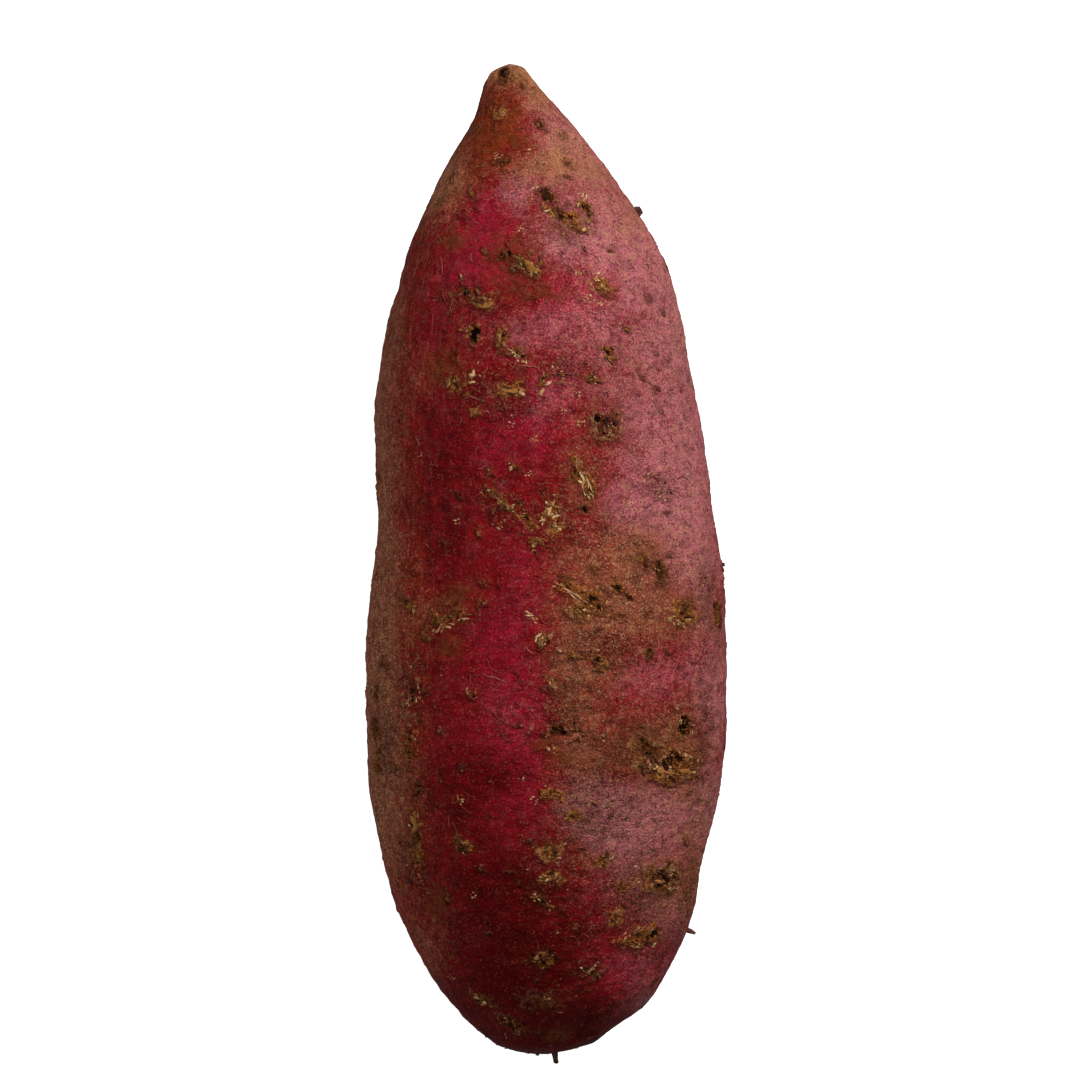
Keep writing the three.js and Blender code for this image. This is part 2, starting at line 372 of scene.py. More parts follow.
MARKS = tuple(Mark(*row) for row in (
    # Each row: x, y, length, width, kind, and where they aren't the usual ones its turn and depth.
    # rough areas
    (-7.0, 88.5, 7.0, 5.0, SCURF, 0, 0.0), (4.0, 60.0, 6.0, 4.0, SCURF, -20, 0.0),
    (-9.0, 31.0, 14.0, 7.0, SCURF, -10, 0.0), (-14.0, 48.5, 12.0, 4.0, SCURF, 0, 0.0),
    (3.0, 35.5, 8.0, 6.0, SCURF, 0, 0.0), (-6.0, 10.0, 14.0, 5.0, SCURF, -25, 0.0),
    (2.0, 7.5, 6.0, 9.0, SCURF, 0, 0.0), (11.0, -15.0, 12.0, 6.0, SCURF, -15, 0.0),
    (21.0, 14.0, 7.0, 6.0, SCURF, 0, 0.0), (3.0, -25.0, 7.0, 12.0, SCURF, 0, 0.0),
    (16.0, -33.0, 14.0, 8.0, SCURF, 0, 0.0), (10.0, -43.0, 14.0, 12.0, SCURF, 0, 0.0),
    (15.0, -60.0, 14.0, 12.0, SCURF, 0, 0.0), (1.0, -54.0, 8.0, 12.0, SCURF, 0, 0.0),
    (-24.0, -22.0, 6.0, 14.0, SCURF, 0, 0.0), (-29.0, -33.0, 5.0, 14.0, SCURF, 0, 0.0),
    (-24.0, -55.0, 8.0, 12.0, SCURF, 0, 0.0), (29.0, -32.0, 6.0, 20.0, SCURF, 0, 0.0),
    (26.0, -60.0, 6.0, 14.0, SCURF, -15, 0.0), (29.0, -5.0, 6.0, 12.0, SCURF, 0, 0.0),
    (8.0, -73.0, 6.0, 4.0, SCURF, 0, 0.0), (-1.0, -79.0, 8.0, 4.0, SCURF, 0, 0.0),
    # fine folds beside the tail
    (7.9, -82.9, 8.0, 1.1, CREASE, 58, 0.4), (12.2, -82.2, 5.0, 1.0, CREASE, 40, 0.35),
    (11.9, -79.9, 3.0, 0.9, CREASE, 60, 0.3),
    # the stem end
    (-7.4, 89.0, 4.0, 3.0, OLD_SCAR, -10, 0.3), (-9.2, 89.8, 4.0, 3.2, NUB, 0, 0.5),
    (-8.1, 89.9, 3.4, 3.6, BURROW, 0, 0.6), (-4.2, 86.7, 1.4, 0.6, SLIT, -50, 0.2),
    (-8.7, 82.0, 3.4, 1.0, SCAR, 0, 0.2), (-0.9, 80.0, 1.8, 1.3, DENT, -30, 0.25),
    (-5.5, 77.1, 3.4, 1.6, STAIN, -20), (3.1, 74.5, 2.4, 1.2, DENT, 0, 0.25),
    (-7.8, 73.5, 3.4, 1.2, SLIT, 8, 0.3),
    # the hooked scar
    (0.4, 66.9, 3.6, 2.8, DENT, -30, 0.6), (0.9, 64.5, 2.6, 1.8, SCAR, -25),
    (4.2, 62.9, 5.2, 1.8, OLD_SCAR, -8, 0.45), (7.4, 64.4, 4.6, 1.9, OLD_SCAR, 100, 0.5),
    (6.0, 61.6, 4.4, 1.4, SCAR, -12, 0.25), (2.8, 60.4, 3.4, 2.0, STAIN),
    # the crusts under it
    (-5.8, 55.2, 8.0, 5.2, STAIN, -35), (-3.4, 54.0, 6.2, 3.2, CRUST, -38, 0.4),
    (-7.2, 56.2, 2.4, 2.2, DENT, 0, 0.3), (-15.0, 49.6, 6.2, 1.2, SLIT, -4, 0.35),
    (-11.3, 47.6, 3.8, 2.2, SCAR, 6), (-2.9, 49.3, 8.0, 1.8, STAIN),
    (10.0, 50.5, 4.0, 2.4, SCAR, -35, 0.2), (-16.8, 59.3, 4.0, 2.4, STAIN),
    (-20.0, 65.4, 1.8, 1.2, DENT, 60, 0.25), (3.8, 72.6, 1.4, 1.1, DENT, 0, 0.2),
    # the pair of holes
    (-12.9, 42.2, 3.6, 2.8, PIT, 75, 0.8), (-7.5, 41.6, 2.8, 2.0, OLD_SCAR, 70, 0.4),
    (-5.6, 38.5, 4.0, 1.5, SCAR, -22, 0.25), (11.2, 38.6, 1.6, 2.6, OLD_SCAR, 60, 0.25),
    # the ochre patches
    (-16.5, 32.9, 3.4, 2.0, SCAR, 10, 0.15), (-13.5, 34.2, 2.4, 1.2, CRUST, -25, 0.25),
    (-6.2, 31.7, 4.8, 1.9, SCAR, -5, 0.2), (-12.9, 27.6, 3.2, 1.3, SCAR, -8, 0.15),
    (-18.8, 36.0, 6.0, 3.6, STAIN), (-0.3, 33.4, 3.0, 1.3, SLIT, 58, 0.3),
    (3.2, 34.4, 2.0, 1.2, DENT, 0, 0.25), (8.4, 33.6, 2.4, 1.6, OLD_SCAR, -30, 0.2),
    # the crater and the long split
    (10.9, 25.2, 5.6, 4.8, KNOT, -35, 0.5), (10.0, 26.4, 1.8, 1.4, PIT, 20, 0.5),
    (6.8, 15.6, 7.6, 1.9, SCAR, -68, 0.4), (6.6, 10.2, 2.2, 1.8, PIT, 0, 0.5),
    (1.3, 10.4, 3.2, 2.6, CRUST, 70, 0.5), (2.0, 6.6, 2.8, 1.8, SCAR, 40, 0.3),
    (-0.4, 8.6, 1.4, 2.4, DENT, 0, 0.3), (-10.0, 13.2, 3.2, 1.4, SCAR, -30, 0.2),
    (-7.0, 10.4, 4.0, 1.4, OLD_SCAR, -35, 0.2), (-3.6, 8.2, 2.8, 1.2, OLD_SCAR, -30, 0.2),
    (-1.9, 3.6, 2.8, 1.4, OLD_SCAR, 15, 0.25),
    # the brown patch on the right
    (8.7, -0.7, 1.9, 1.7, DENT, 0, 0.5), (17.8, 1.2, 3.6, 2.6, DENT, -20, 0.4),
    (20.7, -1.2, 2.2, 3.4, OLD_SCAR, 20, 0.35), (10.6, -4.2, 2.0, 1.2, DENT, 0, 0.3),
    (13.2, -4.0, 2.4, 1.6, PIT, 20, 0.35), (15.0, -5.4, 2.0, 1.5, PIT, 0, 0.4),
    (5.4, -4.6, 7.6, 2.0, SCAR, -32, 0.25), (8.4, -8.2, 6.4, 3.0, OLD_SCAR, 8, 0.3),
    (4.7, -16.1, 2.8, 1.5, OLD_SCAR, 10, 0.25), (9.7, -17.9, 3.6, 1.7, OLD_SCAR, -15, 0.3),
    (18.9, -15.9, 2.0, 1.3, OLD_SCAR, 10, 0.25), (22.0, -15.8, 2.2, 1.1, DENT, 0, 0.25),
    (25.6, -8.7, 5.0, 4.4, CRATER, 40, 0.35), (31.4, -9.0, 6.0, 3.0, OLD_SCAR, 80, 0.4),
    (31.6, 0.2, 2.4, 1.8, NUB, 0, 0.25),
    # the left middle
    (-19.5, -10.4, 8.6, 2.0, SCAR, 26, 0.25), (-25.8, -7.4, 4.8, 1.4, SCAR, -6, 0.2),
    (-17.0, -6.2, 5.4, 2.2, STAIN, 25), (-11.5, -3.2, 1.6, 1.1, DENT, 0, 0.25),
    (-0.7, -13.8, 2.6, 1.6, CRUST, 50, 0.5), (-13.6, -23.8, 2.0, 1.7, DENT, 0, 0.4),
    (-24.0, -23.6, 6.4, 1.6, SLIT, 88, 0.5), (-24.4, -30.6, 3.4, 1.2, SLIT, 95, 0.25),
    (-30.6, -23.6, 3.6, 2.0, SLIT, 90, 0.35), (-31.2, -30.0, 4.4, 3.6, OLD_SCAR, 70, 0.35),
    (-31.0, -37.0, 4.6, 3.2, OLD_SCAR, 100, 0.4), (-30.4, -34.4, 2.6, 1.3, SLIT, 80, 0.35),
    (-27.9, -37.1, 1.6, 1.1, DENT, 0, 0.3), (-24.8, -34.2, 3.6, 1.3, OLD_SCAR, 92, 0.25),
    (-23.3, -40.5, 3.6, 1.5, SLIT, 95, 0.4), (-31.0, -44.6, 2.8, 1.4, SLIT, 90, 0.35),
    (-28.4, -18.8, 2.0, 1.2, DENT, 60, 0.3), (-26.5, -57.6, 3.2, 1.6, OLD_SCAR, 75, 0.25),
    (-17.6, -15.0, 3.0, 2.0, STAIN), (1.6, -22.0, 3.0, 1.4, SCAR, -60, 0.2),
    # the wide scar on the right
    (25.3, -29.5, 4.2, 3.4, PIT, 20, 0.7), (21.0, -35.5, 15.0, 7.0, STAIN, -12, 0.1),
    (22.6, -36.6, 13.0, 5.0, OLD_SCAR, -8, 0.6), (23.0, -35.0, 6.0, 1.4, SLIT, -4, 0.5),
    (17.4, -33.0, 5.4, 3.0, OLD_SCAR, -30, 0.4), (2.7, -30.7, 8.0, 1.3, SLIT, 0, 0.5),
    (5.6, -30.9, 9.5, 0.9, CREASE, -3, 0.45), (1.6, -34.2, 6.4, 2.0, STAIN, -25),
    (4.8, -28.2, 1.6, 2.0, DENT, 0, 0.2), (0.9, -41.8, 3.6, 2.2, OLD_SCAR, 0, 0.2),
    (31.9, -21.5, 2.0, 1.6, NUB, 0, 0.22),
    # the lower left
    (-24.2, -47.6, 4.8, 2.6, SCAR, 92, 0.35), (-23.8, -52.4, 5.0, 2.4, OLD_SCAR, 90, 0.35),
    (-15.4, -51.6, 3.0, 2.2, OLD_SCAR, -20, 0.25), (0.7, -52.2, 3.2, 2.6, CRATER, 0, 0.2),
    (0.9, -57.0, 4.0, 2.2, SCAR, 10, 0.2), (-0.8, -61.4, 4.2, 1.6, OLD_SCAR, -42, 0.35),
    (-20.0, -62.0, 5.4, 3.4, STAIN, 60),
    # the lower right
    (21.6, -56.9, 9.0, 4.4, CRATER, -4, 0.4), (10.6, -53.6, 3.0, 1.6, SCAR, 10, 0.2),
    (17.1, -67.8, 7.6, 3.6, SCAR, 4, 0.35), (19.5, -67.4, 2.2, 1.9, PIT, 0, 0.6),
    (12.9, -63.6, 3.4, 2.6, SCAR, 40, 0.2), (14.0, -58.4, 2.8, 1.8, OLD_SCAR, 0, 0.2),
    (24.5, -65.6, 9.0, 2.8, OLD_SCAR, 78, 0.4), (5.4, -46.2, 2.8, 1.8, OLD_SCAR, -15, 0.25),
    # the tail
    (-1.0, -71.5, 5.6, 1.6, DENT, 12, 0.2), (8.0, -73.8, 3.6, 2.6, DENT, 0, 0.15),
    (-11.8, -78.9, 4.6, 1.7, SCAR, -18, 0.25), (-0.2, -79.4, 4.4, 2.4, STAIN, 0),
    (-6.2, -82.9, 5.0, 2.8, DENT, -35, 0.35), (2.2, -85.0, 3.6, 2.6, STAIN, 0),
    (1.5, -88.0, 3.0, 2.0, DENT, 0, 0.15), (-29.2, -52.0, 2.6, 2.0, NUB, 0, 0.25),
    (-26.6, -62.0, 2.8, 2.0, NUB, 0, 0.28), (-23.6, -68.0, 2.4, 2.0, NUB, 0, 0.25),
    (-20.4, -74.5, 3.0, 2.0, NUB, 0, 0.3), (-16.0, -80.4, 2.6, 2.2, NUB, 0, 0.3),
    (-12.6, -83.9, 2.6, 2.2, NUB, 0, 0.35),
))

# How often each kind turns up among the marks that chance scatters.
STREWN = {SCAR: 0.3, OLD_SCAR: 0.22, DENT: 0.14, STAIN: 0.2, SLIT: 0.1, PIT: 0.04}

# On the sides without blots: how rare each zone is there, the size of its patches, and a seed.
HIDDEN_ZONES = {
    Zone.MAGENTA: (0.5, 22, 41),
    Zone.ROSE: (0.7, 30, 42),
    Zone.RUSSET: (0.5, 34, 43),
    Zone.MAROON: (1.2, 28, 44),
    Zone.TAN: (2.2, 20, 45),
    Zone.RUST: (1.3, 18, 46),
}

# The blots. Each row: x, y, reach across, reach along, amount.
BLOTS = {
    # the brightest skin
    Zone.MAGENTA: (
        (-11, 63, 6, 6, 0.7), (-13, 54, 7, 5, 0.6), (4, 47, 10, 7, 0.8), (13, 57, 9, 6, 0.6),
        (0, 29, 8, 8, 0.7), (-8, 20, 7, 6, 0.4), (20, 13, 9, 8, 0.65), (7, -42, 6, 5, 0.4),
        (-3, 1, 6, 8, 0.5), (26, -3, 4, 7, 0.6), (-8, -12, 7, 6, 0.55), (18, -21, 9, 6, 0.5),
        (-5, -28, 8, 10, 0.7), (-5, -43, 7, 5, 0.4), (9, -61, 5, 5, 0.5), (13, -74, 8, 5, 0.8),
    ),
    # the dusty pink side, partly painted sheen, most near x 13, y -47
    Zone.ROSE: (
        (20, 40, 14, 30, 0.65), (17, 59, 9, 8, 0.4), (25, 12, 8, 13, 0.7), (7, -42, 6, 5, 0.6),
        (-5, -28, 7, 6, 0.2), (0, 29, 6, 5, 0.3), (14, -57, 6, 4, 0.4), (-8, 42, 9, 6, 0.25),
        (28, -3, 4, 9, 0.4), (31, -16, 4, 12, 0.5), (30, -44, 4, 10, 0.6), (31, -29, 4, 7, 0.4),
        (5, 60, 7, 6, 0.5), (4, 79, 6, 6, 0.55), (-1, 85, 4, 4, 0.4), (8, 72, 9, 8, 0.5),
        (2, 58, 9, 5, 0.18), (2, 42, 8, 6, 0.25), (20, -20, 12, 9, 0.36), (14, -46, 8, 6, 0.8),
        (24, -47, 8, 10, 0.5), (23, -62, 8, 8, 0.6), (17, -73, 7, 4, 0.3), (9, -47, 5, 5, 0.45),
        (13, -48, 5, 4, 0.45), (24, -42, 5, 4, 0.4), (15, 9, 7, 5, 0.4), (25, 44, 4, 12, 0.4),
        (24, -1, 5, 5, 0.3), (-5, 68, 5, 4, 0.5), (18, -80, 5, 4, 0.5),
    ),
    # skin that has turned brown
    Zone.RUSSET: (
        (-31, 48, 5, 16, 0.7), (-32, 20, 5, 18, 0.8), (-31, -4, 5, 18, 0.8), (-31, -28, 6, 16, 0.9),
        (-30, -50, 6, 14, 0.8), (-22, -70, 5, 8, 0.4), (13, 2, 12, 7, 0.75), (16, -9, 14, 7, 0.75),
        (8, -18, 8, 6, 0.45), (5, -30, 5, 16, 0.5), (18, -33, 12, 8, 0.6), (26, -36, 7, 14, 0.35),
        (14, 34, 8, 9, 0.3), (7, 17, 5, 7, 0.5), (18, -60, 9, 9, 0.5), (28, -58, 5, 12, 0.5),
        (-19, -8, 6, 4, 0.35), (-20, 34, 6, 5, 0.3), (32, 30, 4, 22, 0.3), (6, -50, 5, 10, 0.3),
        (-19, 69, 6, 8, 0.55), (8, 71, 8, 5, 0.25),
    ),
    # the darkest red, and on the tail painted shade as well
    Zone.MAROON: (
        (-18, 30, 6, 14, 0.4), (-19, 8, 7, 14, 0.5), (-20, -18, 5, 16, 0.5), (-17, -42, 9, 9, 0.5),
        (-8, -38, 8, 4, 0.4), (0, 12, 8, 5, 0.3), (-12, -60, 14, 9, 0.7), (1, -66, 8, 8, 0.5),
        (-8, -79, 16, 10, 0.95), (2, -89, 18, 8, 1.0), (-10, -9, 13, 4, 0.34), (-6, 45, 7, 8, 0.32),
    ),
    # the corky stem end
    Zone.TAN: (
        (24, 44, 3, 10, 0.3), (28, -3, 3, 8, 0.3), (-7, 91, 8, 4, 1.0), (3, 78, 6, 6, 0.35),
        (-1, 87, 4, 5, 0.7), (9, 71, 8, 6, 0.38), (16, 63, 5, 6, 0.4), (-20, 71, 5, 9, 0.7),
        (-2, 72, 8, 4, 0.4), (-28, 50, 3, 12, 0.3),
    ),
    # reddish brown
    Zone.RUST: (
        (-10, 80, 7, 8, 1.0), (-15, 72, 5, 7, 0.4), (-23, 60, 4, 9, 0.4), (-26, 40, 4, 14, 0.45),
        (-25, 8, 4, 20, 0.4), (-24, -22, 4, 20, 0.4), (-24, -50, 5, 14, 0.4), (5, -8, 4, 12, 0.4),
        (30, -14, 4, 14, 0.4),
    ),
}


@dataclass
class SkinGrid:
    """A closed grid of places on the root's skin, evenly spaced from end to end.

    The columns run round the root from its underside, and stand closer together on the top. Rows and
    columns hold what lies between the two ends, which are single points.

    Attributes:
        form: The root's smooth shape.
        rows: The number of rings between the ends.
        columns: The number of places on each ring.
        crowding: How much closer the columns are on the top than on average.
        spacing: About the distance from ring to ring.
    """

    form: RootForm
    rows: int = 352
    columns: int = 282
    crowding: float = 0.3
    spacing: float = 0.58
    phi: np.ndarray = field(init=False)
    around: np.ndarray = field(init=False)
    base: np.ndarray = field(init=False)
    normal: np.ndarray = field(init=False)
    up: np.ndarray = field(init=False)

    def __post_init__(self) -> None:
        """Places the rings by the length of the root's side, and finds the way out of the skin."""
        self.phi = self._even_turns()
        self.around = self._angles(np.arange(self.columns) / self.columns)
        self.base = self.form.points(self.phi, self.around)
        along = np.gradient(self.base, axis=0)
        ring = np.roll(self.base, -1, axis=1) - np.roll(self.base, 1, axis=1)
        self.normal = unit(np.cross(along, ring))
        self.up = self.normal[..., 2]

    def _angles(self, share: np.ndarray) -> np.ndarray:
        """Turns a share of the way round into an angle: 2 pi s - pi + c sin(2 pi s)."""
        turn = 2 * math.pi * share
        return turn - math.pi + self.crowding * np.sin(turn)

    def _even_turns(self) -> np.ndarray:
        """Finds the turns from the stem end that split the root's left and right sides evenly."""
        fine = np.linspace(0, math.pi, 3000)
        sides = self.form.points(fine, np.array([-math.pi / 2, math.pi / 2]))
        steps = np.linalg.norm(np.diff(sides, axis=0), axis=-1).mean(axis=1)
        travelled = np.concatenate(([0.0], np.cumsum(steps)))
        wanted = np.linspace(0, travelled[-1], self.rows + 2)[1:-1]
        return np.interp(wanted, travelled, fine)

    def seek(self, x: float, y: float) -> tuple[int, int]:
        """Finds the grid place that appears at x and y to an eye above the root."""
        gap = np.hypot(*np.moveaxis(seen_from_above(self.base) - (x, y), -1, 0))
        hidden = (self.base[..., 2] < 20) & (self.up < 0)
        return np.unravel_index(np.argmin(gap + 100 * hidden), gap.shape)

    def spread(self, row: int, reach: float) -> slice:
        """Gives the rows that can lie within reach of one of them."""
        count = int(reach / self.spacing) + 3
        return slice(max(0, row - count), min(self.rows, row + count + 1))

    def local(
        self, row: int, column: int, rows: slice, turn: float
    ) -> tuple[np.ndarray, np.ndarray, np.ndarray]:
        """Measures places from one place, in the plane that touches the skin there.

        Args:
            row: The row of the place that is measured from.
            column: Its column.
            rows: The rows to measure.
            turn: How far the first direction is turned from straight across the root, in degrees.

        Returns:
            The distances along the turned direction, across it, and out of the skin.
        """
        out = self.normal[row, column]
        first, second = axes_on_skin(out, np.radians(turn))
        gap = self.base[rows] - self.base[row, column]
        return gap @ first, gap @ second, gap @ out


@dataclass
class SkinSurface:
    """The skin's relief and the masks that its finish reads, worked out over the grid.

    Attributes:
        grid: The places on the skin.
        seed: Sets the marks on the sides that no mark is listed for.
        blunt: The level at which the stem end starts to be cut flat.
        hidden_marks: How many larger marks are tried all over. Those on the top are left out.
        hidden_areas: How many rough areas are tried. Only those on the underside stay.
        small_marks: How many small marks there are.
        height: How far each place stands out of the smooth skin.
        crumble: How broken the surface is there.
        flaking: How many loose flakes stand on a square millimetre there.
        warp: Two random fields that make outlines ragged.
        masks: What the finish reads, by name.
        places: The finished places of the skin.
    """

    grid: SkinGrid
    seed: int = 11
    blunt: float = 90.2
    hidden_marks: int = 150
    hidden_areas: int = 40
    small_marks: int = 420
    height: np.ndarray = field(init=False)
    crumble: np.ndarray = field(init=False)
    flaking: np.ndarray = field(init=False)
    warp: tuple[np.ndarray, np.ndarray] = field(init=False)
    masks: dict[str, np.ndarray] = field(init=False)
    places: np.ndarray = field(init=False)

    def __post_init__(self) -> None:
        """Adds up the relief and the masks, and moves the skin by the relief."""
        base = self.grid.base
        shape = base.shape[:2]
        self.height, self.crumble, self.flaking = np.zeros((3, *shape))
        self.masks = {name: np.full(shape, -1.0) for name in ("cork", "hole")}
        self.masks["stain"] = np.zeros(shape)
        self.warp = tuple(
            Waves(3.4, seed).at(base) + 0.6 * Waves(1.5, seed + 1).at(base) for seed in (31, 33)
        )
        for mark in MARKS:
            self._stamp(*self.grid.seek(mark.x, mark.y), mark)
        self._strew()
        self._crumbs()
        self.masks["relief"] = self.height.copy()
        self._lumps()
        self._wrinkles()
        self._zones()
        self._shape()

    def _crumbs(self) -> None:
        """Breaks the surface of scars and rough areas into crumbs of two sizes."""
        base = self.grid.base
        crumbs = Waves(1.35, 36).at(base) + 0.7 * Waves(2.8, 37).at(base)
        self.height += 0.17 * self.crumble * crumbs

    def _lumps(self) -> None:
        """Uneven growth: low swellings of four sizes."""
        swellings = {
            0.22: Waves(26, 1, stretch=1.6),
            0.10: Waves(9, 2, stretch=1.3),
            0.06: Waves(3.6, 3),
            0.035: Waves(1.7, 7),
        }
        for height, waves in swellings.items():
            self.height += height * waves.at(self.grid.base)

    def _wrinkles(self) -> None:
        """Shallow furrows across the root, and fine ribs along its left side."""
        base = self.grid.base
        furrow = 1 - np.abs(Waves(11, 4, stretch=0.45).at(base))
        self.height -= 0.09 * smooth_step(0.7, 1.0, furrow) * smooth_step(-0.4, 1.2, Waves(24, 5).at(base))
        ribs = Waves(2.6, 6, stretch=5).at(base)
        side = smooth_step(0.1, 0.9, -self.grid.normal[..., 0])
        self.height += 0.03 * ribs * side

    def _stamp(self, row: int, column: int, mark: Mark) -> None:
        """Works one mark into the relief and the masks.

        rho is the distance from the mark's middle as a share of its half size, after the places have
        been shifted by a random field, so that the outline is ragged. The floor is a bell in rho, the lip
        a ring at rho 1.1, and each mask a cone that is 1 in the middle and 0 at its own reach.

        Args:
            row: The row of the mark's middle.
            column: Its column.
            mark: The mark.
        """
        shape = mark.kind.value
        size = max(mark.length, mark.width)
        rows = self.grid.spread(row, 1.5 * size)
        first, second, out = self.grid.local(row, column, rows, mark.turn)
        shift = 0.16 + 0.05 * size
        first = first + shift * self.warp[0][rows]
        second = second + shift * self.warp[1][rows]
        rho = np.sqrt((2 * first / mark.length) ** 2 + (2 * second / mark.width) ** 2 + (out / size) ** 2)
        floor = np.exp(-1.4 * rho**2)
        lip = np.exp(-(((rho - 1.1) / 0.3) ** 2)) * (1 + 0.5 * self.warp[0][rows])
        self.height[rows] += mark.depth * (shape.lip * lip - shape.dish * floor)
        if shape.hole:
            self.height[rows] -= 0.8 * mark.depth * np.exp(-((rho / shape.hole) ** 2))
        for name, reach in (("cork", shape.cork), ("hole", shape.hole)):
            if reach:
                mask = self.masks[name]
                mask[rows] = np.maximum(mask[rows], 1 - rho / reach)
        stain = shape.stain * np.exp(-((rho / 1.5) ** 2))
        self.masks["stain"][rows] = np.maximum(self.masks["stain"][rows], stain)
        broken = np.exp(-((rho / 1.15) ** 4))
        self.crumble[rows] = np.maximum(self.crumble[rows], shape.crumble * broken)
        self.flaking[rows] = np.maximum(self.flaking[rows], shape.flakes * broken)

    def _strew(self) -> None:
        """Scatters marks by chance: small ones all over, and larger ones where none are listed."""
        rng = np.random.default_rng(self.seed)
        girth = np.linalg.norm(np.diff(self.grid.base, axis=1, append=self.grid.base[:, :1]), axis=-1).sum(1)
        chance = girth / girth.sum()

        def somewhere() -> tuple[int, int]:
            """Draws a row and a column, with equal odds for equal areas of skin."""
            return int(rng.choice(self.grid.rows, p=chance)), int(rng.integers(self.grid.columns))

        for _ in range(self.hidden_marks):
            place = somewhere()
            length = 2.5 + 7.0 * rng.random() ** 1.7
            width = length * rng.uniform(0.3, 0.7)
            kind = tuple(STREWN)[rng.choice(len(STREWN), p=tuple(STREWN.values()))]
            mark = Mark(0, 0, length, width, kind, rng.normal(0, 25), 0.08 * length**0.8)
            if self.grid.up[place] < 0.12:
                self._stamp(*place, mark)
        for _ in range(self.hidden_areas):
            place = somewhere()
            length = rng.uniform(8, 16)
            if self.grid.up[place] < -0.1:
                width = length * rng.uniform(0.4, 0.8)
                self._stamp(*place, Mark(0, 0, length, width, SCURF, rng.normal(0, 40), 0))
        for _ in range(self.small_marks):
            place = somewhere()
            length = rng.uniform(0.8, 1.8)
            kind = (DENT, NUB, SCURF)[rng.choice(3, p=(0.3, 0.3, 0.4))]
            turn = rng.uniform(0, 180)
            self._stamp(*place, Mark(0, 0, length, length * rng.uniform(0.6, 1), kind, turn, 0.09))

    def _zones(self) -> None:
        """Adds up each colour zone: the listed blots on the top, and broad waves on the hidden sides."""
        base = self.grid.base
        seen = seen_from_above(base)
        facing = smooth_step(-0.25, 0.15, self.grid.up)
        for zone, (level, length, seed) in HIDDEN_ZONES.items():
            listed = sum(Blot(*row).at(seen) for row in BLOTS[zone])
            broad = Waves(length, seed, stretch=1.5).at(base) + 0.6 * Waves(0.3 * length, seed + 10).at(base)
            hidden = 0.75 * smooth_step(level - 1.5, level + 1.7, broad)
            self.masks[zone.value] = np.clip(listed, 0, 1) * facing + hidden * (1 - facing)
        stem = smooth_step(86.5, 90.5, base[..., 1])
        self.masks["tan"] = np.maximum(self.masks["tan"], stem)
        # Painted shade: the tail is painted in the darkest red where it faces down.
        tail = smooth_step(-66, -84, base[..., 1]) * (1 - facing)
        self.masks["maroon_and_tail_shade"] = np.maximum(self.masks["maroon_and_tail_shade"], tail)
        self.masks["ribbed"] = smooth_step(0.35, 0.95, -self.grid.normal[..., 0])
        self.masks["crumble"] = self.crumble

    def _shape(self) -> None:
        """Moves the skin along its normals by the relief, and keeps it flat where it rests.

        The tail is drawn out by up to 0.6 mm, with a smooth step from y -70 to -89. The stem end is cut:
        what stands over its level by d is lowered to 0.8 (1 - exp(-d / 0.8)).
        """
        fade = np.sin(self.grid.phi)[:, None] ** 0.5
        self.places = self.grid.base + (self.height * fade)[..., None] * self.grid.normal
        self.places[..., 2] = np.maximum(self.places[..., 2], 0.0)
        self.places[..., 1] -= 0.6 * smooth_step(-70, -89, self.places[..., 1])
        over = np.maximum(self.places[..., 1] - self.blunt, 0)
        self.places[..., 1] -= over - 0.8 * (1 - np.exp(-over / 0.8))

    def area(self) -> np.ndarray:
        """Gives the area of skin that each grid place stands for, in square millimetres."""
        along = np.linalg.norm(np.gradient(self.grid.base, axis=0), axis=-1)
        across = np.roll(self.grid.base, -1, axis=1) - np.roll(self.grid.base, 1, axis=1)
        return along * np.linalg.norm(across, axis=-1) / 2

    def at(self, row: np.ndarray, column: np.ndarray) -> tuple[np.ndarray, np.ndarray]:
        """Finds places between the grid's rows and columns.

        Args:
            row: The rows, with fractions.
            column: The columns, with fractions. They wrap round.

        Returns:
            The places on the skin and its ways out there.
        """
        row = np.clip(row, 0, self.grid.rows - 1.001)
        above, left = np.floor(row).astype(int), np.floor(column).astype(int)
        down, right = (row - above)[..., None], (column - left)[..., None]
        left, after = left % self.grid.columns, (left + 1) % self.grid.columns
        found = []
        for values in (self.places, self.grid.normal):
            upper = values[above, left] * (1 - right) + values[above, after] * right
            lower = values[above + 1, left] * (1 - right) + values[above + 1, after] * right
            found.append(upper * (1 - down) + lower * down)
        return found[0], unit(found[1])


# ---------------------------------------------------------------------------------------------------------
# Finishes
# ---------------------------------------------------------------------------------------------------------


@dataclass(frozen=True)
class Spots:
    """A noise pattern.

    Attributes:
        size: The size of its largest spots.
        detail: How many times finer spots are laid over them.
        rough: How strong the finer spots are.
    """

    size: float
    detail: float
    rough: float = 0.5


